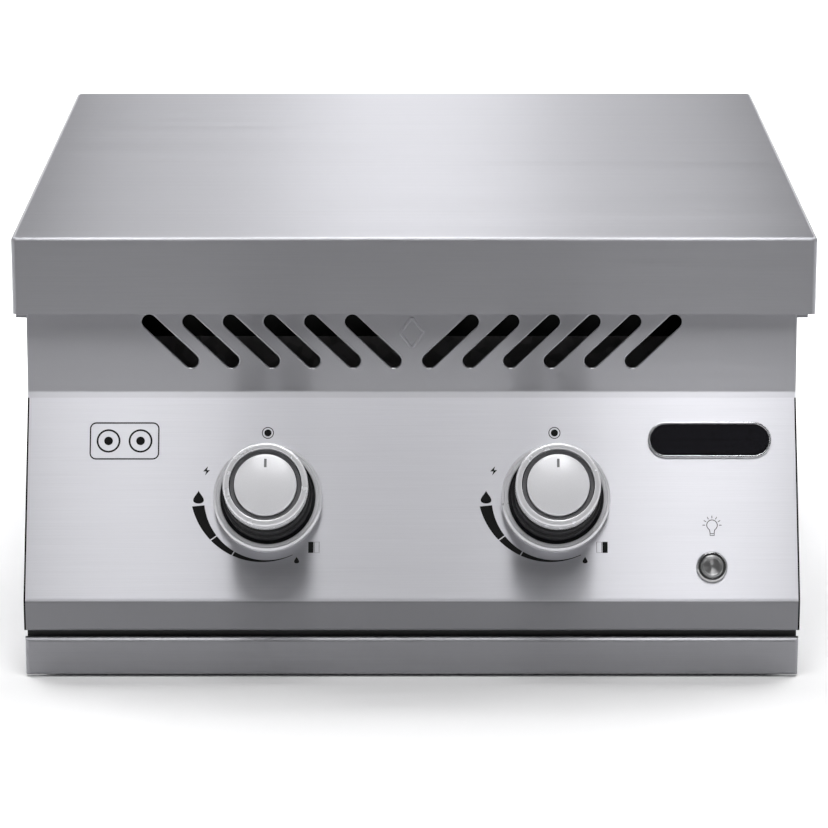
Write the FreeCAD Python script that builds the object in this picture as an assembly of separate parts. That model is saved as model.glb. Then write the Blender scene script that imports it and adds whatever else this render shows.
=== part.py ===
import FreeCAD, Part
import math
import os

# Built-in side burner: two gas burners under a lift-off cover, sloped control panel, pull-out drip tray.
# Millimetres. X is to the right, Y goes back from the front, Z is up from the standing surface.
# While a piece is drawn, y = 0 is the cover's front face; save() moves it to the final origin.

# Sheet thicknesses
sheet = 1.2
cover_sheet = 1.2
cap_sheet = 1.0
pan_sheet = 1.0
tray_sheet = 1.0

# Widths: the body's, and how far each piece stands in or out from the one before it, on each side
body_width = 460.0
chassis_inset = 8.0
flange_overhang = 8.0
cover_side_overhang = 1.9
cover_shift = 1.4
deck_inset = 2.0
deck_side_border = 23.0
rail_overhang = 0.7
crossmember_inset = 0.3
tray_side_gap = 10.0

# Depths, from front to back
panel_setback = 9.0
chassis_setback = 5.0
chassis_depth = 426.0
flange_depth = 29.0
cover_back_overhang = 1.0
deck_back_inset = 8.0
deck_front_border = 36.0
deck_back_border = 24.0
tray_back_gap = 15.0
leg_set_in = 8.2
shield_setback = 46.0

# Heights, from the standing surface up
rail_lift = 1.1
rail_height = 23.5
tray_gap = 4.4
lip_height = 18.6
slope_rise = 113.7
strip_height = 50.5
deck_step = 7.0
cover_gap = 3.0
cover_height = 46.9
pan_depth = 28.0

# Lean of the panel's two faces
slope_run = 58.6
strip_lean = 3.6

# Cover
cover_bend = 2.4
cover_corner = 3.0
cover_hem = 5.0
rest_reach = 22.0
rest_drop = 17.5

# Bends of the control panel
top_bend = 2.4
strip_bend = 3.0
slope_bend = 7.0
lip_bend = 2.0
top_return = 21.0
lip_return = 5.2
panel_fit = 0.2
riser_fit = 0.7

# Vent slots in the upright strip
slots_per_side = 6
slot_pitch = 24.35
slot_first_x = 10.8
slot_drop = 32.0
slot_run = 24.9
slot_rise = 23.6
slot_width = 8.9
slot_edge = 0.8

# Chassis below the counter
foot_flange = 14.0
flange_screw_inset = 5.0
flange_screw_front = 46.0
flange_screw_rear = 40.0
flange_hole = 2.5
leg_shoulder = (6.0, 2.4)
leg_gap = 1.0
back_slot_count = 7
back_slot_pitch = 50.0
back_slot_size = (30.0, 6.0)
back_slot_drop = 64.8
crossmember_gap = 1.0
crossmember_lift = 1.2
crossmember_drop = 2.0
crossmember_flange = 12.0
crossmember_bend = 1.6

# Burner pan in the deck's opening
pan_clearance = 2.0
pan_lap = 6.0
pan_corner = 8.0
pan_collar = 5.0
collar_gap = 2.5
drain_slot = (30.0, 6.0)
drain_inset = 20.0

# Burners
burner_spread = 1.5
burner_set_back = 1.0
head_radius = 42.0
head_wall = 12.0
head_height = 12.0
head_foot = (2.0, 3.0)
neck_set_in = 3.5
neck_height = 8.0
bowl_flange_reach = 13.5
bowl_flange = 4.0
bowl_wall = 4.5
bowl_depth = 18.0
bowl_floor = 6.0
bowl_floor_edge = 3.0
bowl_cone_inset = 2.0
socket_length = 9.0
port_count = 28
port_width = 2.2
port_height = 4.0
port_cover = 1.5
cap_overhang = 2.0
cap_thickness = 4.0
cap_crown = 2.5
tube_radius = 14.0
tube_wall = 1.5
tube_bend = 42.0
tube_mouth_gap = 2.0
tube_jog = (62.0, 60.0)
electrode_gap = 7.0
electrode_radius = 3.5
electrode_fit = 0.5
electrode_pan_fit = 0.7
electrode_rise = 13.0
electrode_drop = 18.0
tail_radius = 1.5
tail_length = 8.0
tip_radius = 0.8
tip_bend = 1.6
tip_rise = 3.5
tip_gap = 2.0

# Cooking grates
grate_rods = 8
rod_radius = 3.5
rod_pitch = 24.5
crossbar_radius = 4.5
crossbar_inset = 16.0
grate_end_gap = 9.0
grate_middle_gap = 3.5
grate_seat_gap = 0.3
weld_depth = 0.8
rail_half_width = 11.0
rail_depth = 14.0

# Drip tray
tray_lift = 4.0
tray_set_down = 5.4
tray_corner = 4.0
tray_lap = 6.8
wing_root = 0.5
wing_front = 8.0
wing_rear = 6.0
rail_return = 2.8
rail_bend = 2.6
slide_gap = 0.2
guide_gap = 1.2
channel_skirt = 8.6
channel_lip = 7.3
channel_front = 8.0
channel_rear = 5.0

# Knobs, measured outward from the panel face along its normal
knob_x = 86.0
knob_drop = 2.0
ring_radius = 25.1
ring_wall = 3.7
ring_height = 12.0
ring_bevel = 1.4
groove_width = 3.0
hub_rise = 6.5
knob_cap_height = 4.0
knob_cap_crown = 2.0
knob_base = 7.0
knob_step_heights = (10.0, 20.0, 27.5)
knob_step_swell = (1.5, 0.1, -1.3)
push_travel = 3.0
bezel_gap = 1.8
bezel_wall = 4.1
bezel_height = 6.5
bezel_bevel = 1.2
bezel_floor = 2.0
bezel_bore = 9.0
light_ring_height = 1.6
light_ring_width = 8.4

# Gas valves, measured along the knob's axis
stem_radius = 3.0
stem_fit = 0.08
stem_grip = 20.0
stem_flat = 1.8
stem_gap = 1.0
collar_radius = 5.5
collar_height = 2.0
collar_gap_behind = 1.0
valve_face = -5.0
valve_flange = (34.0, 22.0, 3.0)
valve_front_web = 0.5
valve_radius = 12.0
valve_length = 36.0
plug_radius = 7.0
plug_fit = 0.07
plug_length = 15.0
plug_end_gap = 0.3
plug_front = -22.0
plug_key_floor = 2.0
plug_port_radius = 2.5
plug_port_inset = 1.0
spring_wire = 0.5
spring_radius = 4.6
spring_turns = 5
spring_seat = 0.1
manifold_radius = 10.65
manifold_wall = 2.0
manifold_plug = 3.0
manifold_drop = 30.0
manifold_set_in = 30.0
manifold_left_reach = 18.0
manifold_side_gap = 18.0
inlet_boss_radius = 8.0
outlet_radius = 6.5
outlet_rise = 3.0
outlet_length = 34.0
outlet_back = 22.0
orifice_radius = 5.0
orifice_length = 8.0
jet_radius = 0.6
inlet_pipe_inset = 14.0
inlet_pipe_radius = 6.0
inlet_pipe_wall = 1.0
inlet_pipe_end_gap = 12.0
inlet_thread_radius = 7.94
inlet_thread_length = 16.0
inlet_shank = (8.6, 6.0)
inlet_bore = 4.0
inlet_flare = (5.5, 3.5)
inlet_hex = (22.0, 10.8)
inlet_locknut_height = 5.0

# Light button
button_side_inset = 51.2
button_v = -43.3
button_bezel_radius = 9.25
button_bezel_height = 2.2
button_bezel_bevel = 0.8
button_bore = 6.75
button_gap = 0.25
button_proud = 1.0
button_length = 8.2
button_round = 0.7
button_travel = 1.5
barrel_radius = 7.9
barrel_length = 16.0
nut_width = 22.0
nut_height = 3.0
button_spring_wire = 0.35
button_spring_radius = 4.0
button_spring_turns = 3
button_spring_room = 2.0
button_spring_seat = 0.05

# Blank nameplate
plate_size = (74.4, 22.0)
plate_side_gap = 14.2
plate_v = 34.0
plate_thickness = 1.2

# Heat shield and ignition
shield_bottom = 24.0
shield_top_gap = 2.0
shield_lip = 10.0
shield_clearance = 3.0
module_size = (50.0, 34.0, 40.0)
module_side_gap = 47.0
module_drop = 55.0
module_corner = 2.0
module_door = (24.0, 1.5, 28.0)
lead_radius = 2.0
lead_bend = 8.0
left_lead_gap = 20.0
left_lead_rise = 1.0
left_lead_set_in = 20.0
right_lead_gap = 26.0
right_lead_drop = 13.0
right_lead_set_in = 12.0
lead_turn_back = 28.0

# Small fittings
bumper_inset = 7.0
bumper_front = 66.0
bumper_rear = 50.0
bumper_radius = 5.5
bumper_height = 3.0
rest_end = 20.0
screw_head = (3.8, 2.2)
screw_head_round = 1.0
screw_slot = (1.0, 0.9)
screw_radius = 2.0
screw_fit = 0.1
deck_screw_x = (-180.0, -60.0, 60.0, 180.0)
deck_screw_setback = 11.0
deck_screw_length = 5.0
burner_screw_length = 4.0
burner_screw_spread = 1.5
burner_screw_angles = (30.0, 150.0, 210.0, 330.0)

# How far a cutter runs past what it cuts, through a sheet and elsewhere
through = 12.0
past = 1.0
closeness = 1e-6

# Widths worked out
half_body = body_width / 2
half_chassis = half_body - chassis_inset
flange_reach = half_body + flange_overhang
half_cover = flange_reach + cover_side_overhang
deck_half_width = half_body - deck_inset
opening_half_width = deck_half_width - deck_side_border
burner_x = opening_half_width / 2 + burner_spread
half_rail = half_body + rail_overhang
half_tray = half_chassis - tray_side_gap
flange_screw_x = flange_reach - flange_screw_inset
bumper_x = deck_half_width - bumper_inset
manifold_left = -knob_x - manifold_left_reach
manifold_right = half_chassis - manifold_side_gap
inlet_pipe_x = manifold_right - inlet_pipe_inset
module_x = module_side_gap - half_chassis
plate_u = half_body - plate_side_gap - plate_size[0] / 2
button_u = half_body - button_side_inset

# Depths worked out
chassis_front = panel_setback + chassis_setback
chassis_back = chassis_front + chassis_depth
flange_back = chassis_back + flange_depth
cover_depth = flange_back + cover_back_overhang
deck_back = flange_back - deck_back_inset
opening_front = panel_setback + deck_front_border
opening_back = deck_back - deck_back_border
burner_y = (opening_front + opening_back) / 2 + burner_set_back
grate_front = opening_front + grate_end_gap
grate_back = opening_back - grate_end_gap
tray_back = chassis_back - tray_back_gap
shield_y = chassis_front + shield_setback
outlet_end_y = chassis_front + outlet_back
tube_mouth_y = outlet_end_y + tube_mouth_gap
deck_screw_y = panel_setback + deck_screw_setback
flange_screw_y = (chassis_front + flange_screw_front, chassis_back - flange_screw_rear)
bumper_y = (chassis_front + bumper_front, chassis_back - bumper_rear)
rest_span = (bumper_y[0] - rest_end, bumper_y[1] + rest_end)

# Heights worked out
rail_top_z = rail_lift + rail_height
lip_bottom_z = rail_top_z + tray_gap
slope_foot = (panel_setback - strip_lean - slope_run, lip_bottom_z + lip_height)
strip_foot = (panel_setback - strip_lean, slope_foot[1] + slope_rise)
panel_top_z = strip_foot[1] + strip_height
deck_top_z = panel_top_z + sheet
bearing_z = panel_top_z - deck_step
step_z = bearing_z + sheet
cover_bottom_z = step_z + sheet + cover_gap
overall_height = cover_bottom_z + cover_height
pan_flange_z = deck_top_z + pan_sheet
pan_floor_z = pan_flange_z - pan_depth
slot_low_z = panel_top_z - slot_drop
back_slot_z = bearing_z - back_slot_drop
tray_floor_z = tray_lift
tray_top_z = rail_top_z - tray_set_down
module_z = pan_floor_z - module_drop
electrode_low_z = pan_floor_z - electrode_drop
tail_low_z = electrode_low_z - tail_length

# The slope and what stands on it
tilt = math.atan2(slope_run, slope_rise)
slope_mid = ((strip_foot[0] + slope_foot[0]) / 2, (strip_foot[1] + slope_foot[1]) / 2)
lip_y = slope_foot[0]
leg_front = lip_y + leg_set_in
knob_step_radii = [ring_radius + swell for swell in knob_step_swell]
bezel_inner = knob_step_radii[0] + bezel_gap
bezel_radius = bezel_inner + bezel_wall
light_ring_bore = bezel_inner - light_ring_width
ring_bore = ring_radius - ring_wall
cap_radius = ring_bore - groove_width
hub_height = knob_step_heights[2] + hub_rise
knob_front = knob_base + knob_step_heights[2] + ring_height
knob_foot_y = slope_mid[0] - knob_drop * math.sin(tilt)
bevel_reach = (ring_radius - ring_bevel) * math.sin(tilt) + (knob_front - ring_bevel) * math.cos(tilt)
knob_reach_y = knob_foot_y - bevel_reach - ring_bevel
origin_y = (knob_reach_y + cover_depth) / 2
valve_back = valve_face - valve_flange[2] - valve_length

# Burners worked out
neck_radius = head_radius - neck_set_in
head_bore = head_radius - head_wall
bowl_flange_radius = neck_radius + bowl_flange_reach
electrode_y = burner_y - head_radius - electrode_gap
bowl_top_z = pan_floor_z - pan_sheet
bowl_low_z = bowl_top_z - bowl_flange


def save(name, shape):
    """Move a finished piece to the final origin and write it."""
    placed = shape.copy()
    placed.translate(FreeCAD.Vector(0, -origin_y, 0))
    placed.exportStep("parts/" + name + ".step")


def block(x0, x1, y0, y1, z0, z1):
    return Part.makeBox(x1 - x0, y1 - y0, z1 - z0, FreeCAD.Vector(x0, y0, z0))


def rod(radius, start, end):
    """A round bar from one point to another."""
    first = FreeCAD.Vector(*start)
    along = FreeCAD.Vector(*end) - first
    return Part.makeCylinder(radius, along.Length, first, along)


def axis_rod(radius, low, high):
    """A round bar on the Z axis."""
    return Part.makeCylinder(radius, high - low, FreeCAD.Vector(0, 0, low))


def upright_rod(radius, x, y, z):
    """A round cutter that passes through a level sheet at height z."""
    return rod(radius, (x, y, z - through), (x, y, z + through))


def fuse(shapes):
    joined = shapes[0]
    for extra in shapes[1:]:
        joined = joined.fuse(extra)
    return joined.removeSplitter()


def mirrored(shape):
    return shape.mirror(FreeCAD.Vector(0, 0, 0), FreeCAD.Vector(1, 0, 0))


def rounded_edges(points, radii, closed):
    """Lines through the points with a tangent arc of the given radius at each corner."""
    count = len(points)
    trims = []
    for i in range(count):
        corner = points[i]
        inner = closed or 0 < i < count - 1
        if not inner or radii[i] <= 0:
            trims.append((corner, None, corner))
            continue
        to_prev = (points[i - 1] - corner).normalize()
        to_next = (points[(i + 1) % count] - corner).normalize()
        half = to_prev.getAngle(to_next) / 2
        cut = radii[i] / math.tan(half)
        bisector = (to_prev + to_next).normalize()
        middle = corner + bisector * (radii[i] / math.sin(half) - radii[i])
        trims.append((corner + to_prev * cut, middle, corner + to_next * cut))
    edges = []
    for i in range(count):
        start, middle, end = trims[i]
        if middle is not None:
            edges.append(Part.Arc(start, middle, end).toShape())
        if i < count - 1 or closed:
            following = trims[(i + 1) % count][0]
            if (following - end).Length > closeness:
                edges.append(Part.LineSegment(end, following).toShape())
    return edges


def side_profile(outline, radii, x0, x1):
    """A closed outline in (y, z) carried across from x0 to x1."""
    points = [FreeCAD.Vector(x0, y, z) for y, z in outline]
    wire = Part.Wire(rounded_edges(points, radii, True))
    return Part.Face(wire).extrude(FreeCAD.Vector(x1 - x0, 0, 0))


def folded_sheet(face_line, radii, thickness, x0, x1):
    """Sheet whose visible face follows face_line in (y, z); the metal lies to the left of it."""
    count = len(face_line)
    units = []
    for i in range(count - 1):
        dy = face_line[i + 1][0] - face_line[i][0]
        dz = face_line[i + 1][1] - face_line[i][1]
        length = math.hypot(dy, dz)
        units.append((dy / length, dz / length))
    inner = []
    inner_radii = []
    for i in range(count):
        before = units[max(i - 1, 0)]
        after = units[min(i, count - 2)]
        left_before = (-before[1], before[0])
        left_after = (-after[1], after[0])
        spread = 1 + left_before[0] * left_after[0] + left_before[1] * left_after[1]
        shift_y = thickness * (left_before[0] + left_after[0]) / spread
        shift_z = thickness * (left_before[1] + left_after[1]) / spread
        inner.append((face_line[i][0] + shift_y, face_line[i][1] + shift_z))
        turn = before[0] * after[1] - before[1] * after[0]
        change = -thickness if turn > 0 else thickness
        inner_radii.append(radii[i] + change if radii[i] > 0 else 0)
    outline = list(face_line) + inner[::-1]
    return side_profile(outline, list(radii) + inner_radii[::-1], x0, x1)


def turned(outline, radii=None):
    """A profile of (radius, height) pairs turned about the Z axis."""
    points = [FreeCAD.Vector(r, 0, h) for r, h in outline]
    wire = Part.Wire(rounded_edges(points, radii or [0] * len(points), True))
    return Part.Face(wire).revolve(FreeCAD.Vector(0, 0, 0), FreeCAD.Vector(0, 0, 1), 360)


def tray_shell(x0, x1, y0, y1, z0, z1, wall, corner):
    """An open-topped box with rounded upright corners."""
    outer = block(x0, x1, y0, y1, z0, z1)
    inner = block(x0 + wall, x1 - wall, y0 + wall, y1 - wall, z0 + wall, z1 + wall)
    outer = outer.makeFillet(corner, upright_edges(outer))
    inner = inner.makeFillet(corner - wall, upright_edges(inner))
    return outer.cut(inner)


def upright_edges(shape):
    chosen = []
    for edge in shape.Edges:
        box = edge.BoundBox
        if box.ZLength > 0.1 and box.XLength + box.YLength < closeness:
            chosen.append(edge)
    return chosen


def on_panel(shape, u, v):
    """Stand a piece drawn about its own Z axis on the slope: u to the right, v up the slope."""
    base_y = slope_mid[0] + v * math.sin(tilt)
    base_z = slope_mid[1] + v * math.cos(tilt)
    turn = FreeCAD.Rotation(FreeCAD.Vector(1, 0, 0), 90 - math.degrees(tilt))
    placed = shape.copy()
    placed.Placement = FreeCAD.Placement(FreeCAD.Vector(u, base_y, base_z), turn).multiply(shape.Placement)
    return placed


def routed(points, bend, radius, bore=0.0):
    """A round bar or tube along straight runs joined by tangent arcs."""
    corners = [FreeCAD.Vector(*p) for p in points]
    wire = Part.Wire(rounded_edges(corners, [bend] * len(corners), False))
    start = corners[0]
    direction = corners[1] - corners[0]
    ring = Part.Wire(Part.makeCircle(radius, start, direction))
    solid = wire.makePipeShell([ring], True, False)
    if bore > 0:
        hole = Part.Wire(Part.makeCircle(bore, start, direction))
        solid = solid.cut(wire.makePipeShell([hole], True, False))
    return solid


def coil(radius, wire_radius, turns, low, high):
    """A compression spring about the Z axis, between two flat seats."""
    free = high - low - 2 * wire_radius
    path = Part.makeLongHelix(free / turns, free, radius)
    start = FreeCAD.Vector(radius, 0, 0)
    ring = Part.Wire(Part.makeCircle(wire_radius, start, FreeCAD.Vector(0, 1, 0)))
    spring = Part.Wire(path.Edges).makePipeShell([ring], True, True)
    spring.translate(FreeCAD.Vector(0, 0, low + wire_radius))
    return spring


def hexagon(width, height, z0):
    corner = width / 2 / math.cos(math.pi / 6)
    points = []
    for i in range(6):
        angle = math.radians(60 * i)
        points.append(FreeCAD.Vector(corner * math.cos(angle), corner * math.sin(angle), z0))
    face = Part.Face(Part.makePolygon(points + [points[0]]))
    return face.extrude(FreeCAD.Vector(0, 0, height))


def stadium(length, height, z0, thickness):
    """A flat bar with half-round ends, centred on the Z axis."""
    r = height / 2
    middle = block(-length / 2 + r, length / 2 - r, -r, r, z0, z0 + thickness)
    ends = []
    for side in (-1, 1):
        centre = side * (length / 2 - r)
        ends.append(rod(r, (centre, 0, z0), (centre, 0, z0 + thickness)))
    return fuse([middle] + ends)


def on_bumpers(cover_piece):
    """Sets a piece of the cover a little to the right, the way the loose cover stands on its bumpers."""
    placed = cover_piece.copy()
    placed.translate(FreeCAD.Vector(cover_shift, 0, 0))
    return placed


def cover_shell():
    half = half_cover
    t = cover_sheet
    outer = block(-half, half, 0, cover_depth, cover_bottom_z, overall_height)
    outer = outer.makeFillet(cover_corner, upright_edges(outer))
    top_edges = [e for e in outer.Edges if e.BoundBox.ZMin > overall_height - closeness]
    outer = outer.makeFillet(cover_bend, top_edges)
    inner = block(-half + t, half - t, t, cover_depth - t, cover_bottom_z - t, overall_height - t)
    inner = inner.makeFillet(cover_corner - t, upright_edges(inner))
    shell = outer.cut(inner)
    reach = t + cover_hem
    ring = block(-half + t, half - t, t, cover_depth - t, cover_bottom_z, cover_bottom_z + t)
    hole = block(-half + reach, half - reach, reach, cover_depth - reach, 0, overall_height)
    hem = ring.makeFillet(cover_corner - t, upright_edges(ring)).cut(hole)
    return on_bumpers(fuse([shell, hem]))


def cover_rests():
    """Angle strips inside the side skirts that stand on the bumpers."""
    wall = half_cover - cover_sheet
    low = deck_top_z + bumper_height
    leg = block(wall - sheet, wall, rest_span[0], rest_span[1], low, low + cover_height - rest_drop)
    shelf = block(wall - rest_reach, wall, rest_span[0], rest_span[1], low, low + sheet)
    right = fuse([leg, shelf])
    return on_bumpers(Part.makeCompound([right, mirrored(right)]))


def slot_cutters():
    """Vent slots leaning outwards as they rise, mirrored about the middle."""
    cutters = []
    r = slot_width / 2
    for side in (-1, 1):
        for i in range(slots_per_side):
            low_x = side * (slot_first_x + i * slot_pitch)
            high_x = low_x + side * slot_run
            high_z = slot_low_z + slot_rise
            length = math.hypot(slot_run, slot_rise)
            bar = block(-r, r, -through, through + panel_setback, 0, length)
            lean = side * math.degrees(math.atan2(slot_run, slot_rise))
            bar.rotate(FreeCAD.Vector(0, 0, 0), FreeCAD.Vector(0, 1, 0), lean)
            bar.translate(FreeCAD.Vector(low_x, 0, slot_low_z))
            low_end = rod(r, (low_x, -through, slot_low_z), (low_x, through + panel_setback, slot_low_z))
            high_end = rod(r, (high_x, -through, high_z), (high_x, through + panel_setback, high_z))
            cutters.extend([bar, low_end, high_end])
    return cutters


def slot_rims(panel):
    """Edges of the vent slots on the strip's leaning front face."""
    low = slot_low_z - slot_width / 2 - past
    high = slot_low_z + slot_rise + slot_width / 2 + past
    lean = (panel_setback - strip_foot[0]) / strip_height
    rims = []
    for edge in panel.Edges:
        if edge.BoundBox.ZMin > low and edge.BoundBox.ZMax < high:
            ends = [vertex.Point for vertex in edge.Vertexes]
            if all(abs(end.y - panel_setback + (panel_top_z - end.z) * lean) < closeness for end in ends):
                rims.append(edge)
    return rims


def control_panel():
    face_line = [(panel_setback + top_return, panel_top_z), (panel_setback, panel_top_z),
                 strip_foot, slope_foot, (lip_y, lip_bottom_z), (lip_y + lip_return, lip_bottom_z)]
    radii = [0, top_bend, strip_bend, slope_bend, lip_bend, 0]
    panel = folded_sheet(face_line, radii, sheet, -half_body, half_body)
    for cutter in slot_cutters():
        panel = panel.cut(cutter)
    panel = panel.makeFillet(slot_edge, slot_rims(panel))
    for side in (-1, 1):
        bore = axis_rod(bezel_bore, -through, through)
        panel = panel.cut(on_panel(bore, side * knob_x, -knob_drop))
        corner = sorted((side * (deck_half_width - deck_inset), side * (half_body + past)))
        notch_front = panel_setback + sheet + panel_fit
        notch = block(corner[0], corner[1], notch_front, panel_setback + top_return + past,
                      step_z - past, panel_top_z + past)
        panel = panel.cut(notch)
    hole = axis_rod(barrel_radius + screw_fit, -through, through)
    panel = panel.cut(on_panel(hole, button_u, button_v))
    for x in deck_screw_x:
        panel = panel.cut(upright_rod(screw_radius + screw_fit, x, deck_screw_y, deck_top_z))
    return panel


def panel_end():
    """Right end plate of the control panel, folded in at the back onto the chassis side."""
    outline = [(panel_setback, panel_top_z), strip_foot, slope_foot, (lip_y, lip_bottom_z),
               (chassis_front, lip_bottom_z), (chassis_front, panel_top_z)]
    radii = [top_bend, strip_bend, slope_bend, lip_bend, 0, 0]
    plate = side_profile(outline, radii, half_body, half_body + cap_sheet)
    fold = block(half_chassis, half_body + cap_sheet, chassis_front - sheet, chassis_front,
                 lip_bottom_z, bearing_z)
    return fuse([plate, fold])


def front_crossmember():
    """Dark channel behind the gap above the drip tray."""
    face_y = lip_y + lip_return + crossmember_gap
    low = tray_top_z + crossmember_lift
    high = slope_foot[1] - crossmember_drop
    half = half_body - crossmember_inset
    face_line = [(face_y + crossmember_flange, high), (face_y, high), (face_y, low)]
    return folded_sheet(face_line, [0, crossmember_bend, 0], sheet, -half, half)


def chassis_side():
    """Right side wall: foot turned in, counter flange turned out."""
    outer = half_chassis
    outline = [(leg_front, 0), (chassis_back, 0), (chassis_back, step_z), (chassis_front, step_z),
               (chassis_front, lip_bottom_z - leg_gap),
               (leg_front + leg_shoulder[0], rail_top_z + leg_shoulder[1]), (leg_front, rail_top_z)]
    wall = side_profile(outline, [0] * len(outline), outer - sheet, outer)
    foot = block(outer - foot_flange, outer, leg_front, chassis_back - sheet, 0, sheet)
    flange = block(outer - sheet, flange_reach, chassis_front, chassis_back, bearing_z, step_z)
    side = fuse([wall, foot, flange])
    for y in flange_screw_y:
        side = side.cut(upright_rod(flange_hole, flange_screw_x, y, step_z))
    return side


def chassis_back_wall():
    half = half_chassis - sheet
    wall = block(-half, half, chassis_back - sheet, chassis_back, 0, step_z)
    foot = block(-half + foot_flange, half - foot_flange, chassis_back - foot_flange, chassis_back,
                 0, sheet)
    flange = block(-flange_reach, flange_reach, chassis_back, flange_back, bearing_z, step_z)
    back = fuse([wall, foot, flange])
    first = -back_slot_pitch * (back_slot_count - 1) / 2
    long, high = back_slot_size
    for i in range(back_slot_count):
        x = first + i * back_slot_pitch
        back = back.cut(block(x - long / 2, x + long / 2, chassis_back - through, chassis_back + past,
                              back_slot_z, back_slot_z + high))
    hole = rod(inlet_shank[0] + screw_fit, (inlet_pipe_x, chassis_back - through, manifold_z()),
               (inlet_pipe_x, chassis_back + through, manifold_z()))
    return back.cut(hole)


def deck():
    """Raised plate round the pan, stepped down to the counter flange on three sides."""
    t = sheet
    reach = flange_reach
    top = block(-deck_half_width, deck_half_width, panel_setback, deck_back, panel_top_z, deck_top_z)
    pieces = [top]
    for side in (-1, 1):
        wall = sorted((side * (deck_half_width - t), side * deck_half_width))
        pieces.append(block(wall[0], wall[1], panel_setback + sheet + riser_fit, deck_back,
                            step_z, deck_top_z))
        wing = sorted((side * (deck_half_width - t), side * reach))
        pieces.append(block(wing[0], wing[1], chassis_front + panel_fit, flange_back, step_z, step_z + t))
    pieces.append(block(-deck_half_width, deck_half_width, deck_back - t, deck_back, step_z, deck_top_z))
    pieces.append(block(-reach, reach, deck_back - t, flange_back, step_z, step_z + t))
    plate = fuse(pieces)
    opening = block(-opening_half_width, opening_half_width, opening_front, opening_back,
                    bearing_z, deck_top_z + past)
    plate = plate.cut(opening.makeFillet(pan_corner + pan_clearance, upright_edges(opening)))
    for x in deck_screw_x:
        plate = plate.cut(upright_rod(screw_radius + screw_fit, x, deck_screw_y, deck_top_z))
    for x in (-flange_screw_x, flange_screw_x):
        for y in flange_screw_y:
            plate = plate.cut(upright_rod(flange_hole, x, y, step_z))
    return plate


def burner_screw_places(side):
    radius = (neck_radius + bowl_flange_radius) / 2 + burner_screw_spread
    places = []
    for angle in burner_screw_angles:
        x = side * burner_x + radius * math.cos(math.radians(angle))
        y = burner_y + radius * math.sin(math.radians(angle))
        places.append((x, y))
    return places


def burner_pan():
    half = opening_half_width - pan_clearance
    front = opening_front + pan_clearance
    back = opening_back - pan_clearance
    floor = bowl_top_z
    basin = tray_shell(-half, half, front, back, floor, pan_flange_z, pan_sheet, pan_corner)
    lap = pan_clearance + pan_lap
    rim = block(-half - lap, half + lap, front - lap, back + lap, deck_top_z, pan_flange_z)
    rim = rim.makeFillet(pan_corner + lap, upright_edges(rim))
    well = block(-half + pan_sheet, half - pan_sheet, front + pan_sheet, back - pan_sheet,
                 pan_floor_z, pan_flange_z + past)
    rim = rim.cut(well.makeFillet(pan_corner - pan_sheet, upright_edges(well)))
    pan = fuse([basin, rim])
    for side in (-1, 1):
        x = side * burner_x
        bore = neck_radius + collar_gap
        collar = rod(bore + pan_sheet, (x, burner_y, floor), (x, burner_y, pan_floor_z + pan_collar))
        pan = fuse([pan, collar])
        pan = pan.cut(upright_rod(bore, x, burner_y, pan_floor_z))
        pan = pan.cut(upright_rod(electrode_radius + electrode_pan_fit, x, electrode_y, pan_floor_z))
        for place in burner_screw_places(side):
            pan = pan.cut(upright_rod(screw_radius + screw_fit, place[0], place[1], pan_floor_z))
        for y in (front + drain_inset, back - drain_inset):
            long, wide = drain_slot
            pan = pan.cut(block(x - long / 2, x + long / 2, y - wide / 2, y + wide / 2,
                                floor - past, pan_floor_z + past))
    return pan


def grate_rail():
    """Hat channel across the middle of the pan that carries the inner ends of the grates."""
    front = opening_front + pan_clearance + pan_sheet
    back = opening_back - pan_clearance - pan_sheet
    top = pan_flange_z
    hat = block(-rail_half_width, rail_half_width, front, back, top - rail_depth, top)
    inside = block(-rail_half_width + sheet, rail_half_width - sheet, front - past, back + past,
                   top - rail_depth - past, top - sheet)
    return hat.cut(inside)


def cooking_grate():
    """Right grate: stainless rods, each saddled and welded onto two crossbars."""
    bar_z = pan_flange_z + grate_seat_gap + crossbar_radius
    rod_z = bar_z + crossbar_radius + rod_radius - weld_depth
    inner_x = grate_middle_gap
    outer_x = opening_half_width - pan_clearance + pan_lap
    crossbars = []
    for y in (grate_front + crossbar_inset, grate_back - crossbar_inset):
        crossbars.append(rod(crossbar_radius, (inner_x, y, bar_z), (outer_x, y, bar_z)))
    first = (inner_x + outer_x - rod_pitch * (grate_rods - 1)) / 2
    rods = []
    for i in range(grate_rods):
        x = first + i * rod_pitch
        bar = rod(rod_radius, (x, grate_front, rod_z), (x, grate_back, rod_z))
        rods.append(bar.cut(Part.makeCompound(crossbars)))
    return Part.makeCompound(crossbars + rods)


def burner_bowl():
    """Cast bowl under the pan with its neck standing up through the collar."""
    top = bowl_top_z
    low = bowl_low_z
    socket = low - bowl_depth
    socket_radius = tube_radius + bowl_flange
    neck_top = pan_floor_z + neck_height
    inner = neck_radius - bowl_wall
    outline = [(tube_radius, socket), (socket_radius, socket), (socket_radius, socket + socket_length),
               (neck_radius - bowl_cone_inset, low), (bowl_flange_radius, low), (bowl_flange_radius, top),
               (neck_radius, top), (neck_radius, neck_top), (inner, neck_top),
               (inner, low + bowl_floor_edge), (tube_radius, low - bowl_floor)]
    bowl = turned(outline, [0, 1, 3, 0, 1, 1, 0, 0, 0, 3, 0])
    bowl.translate(FreeCAD.Vector(burner_x, burner_y, 0))
    bowl = bowl.cut(upright_rod(electrode_radius + electrode_fit, burner_x, electrode_y, top))
    for x, y in burner_screw_places(1):
        bowl = bowl.cut(rod(screw_radius, (x, y, pan_floor_z - burner_screw_length), (x, y, top + past)))
    return bowl


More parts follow.
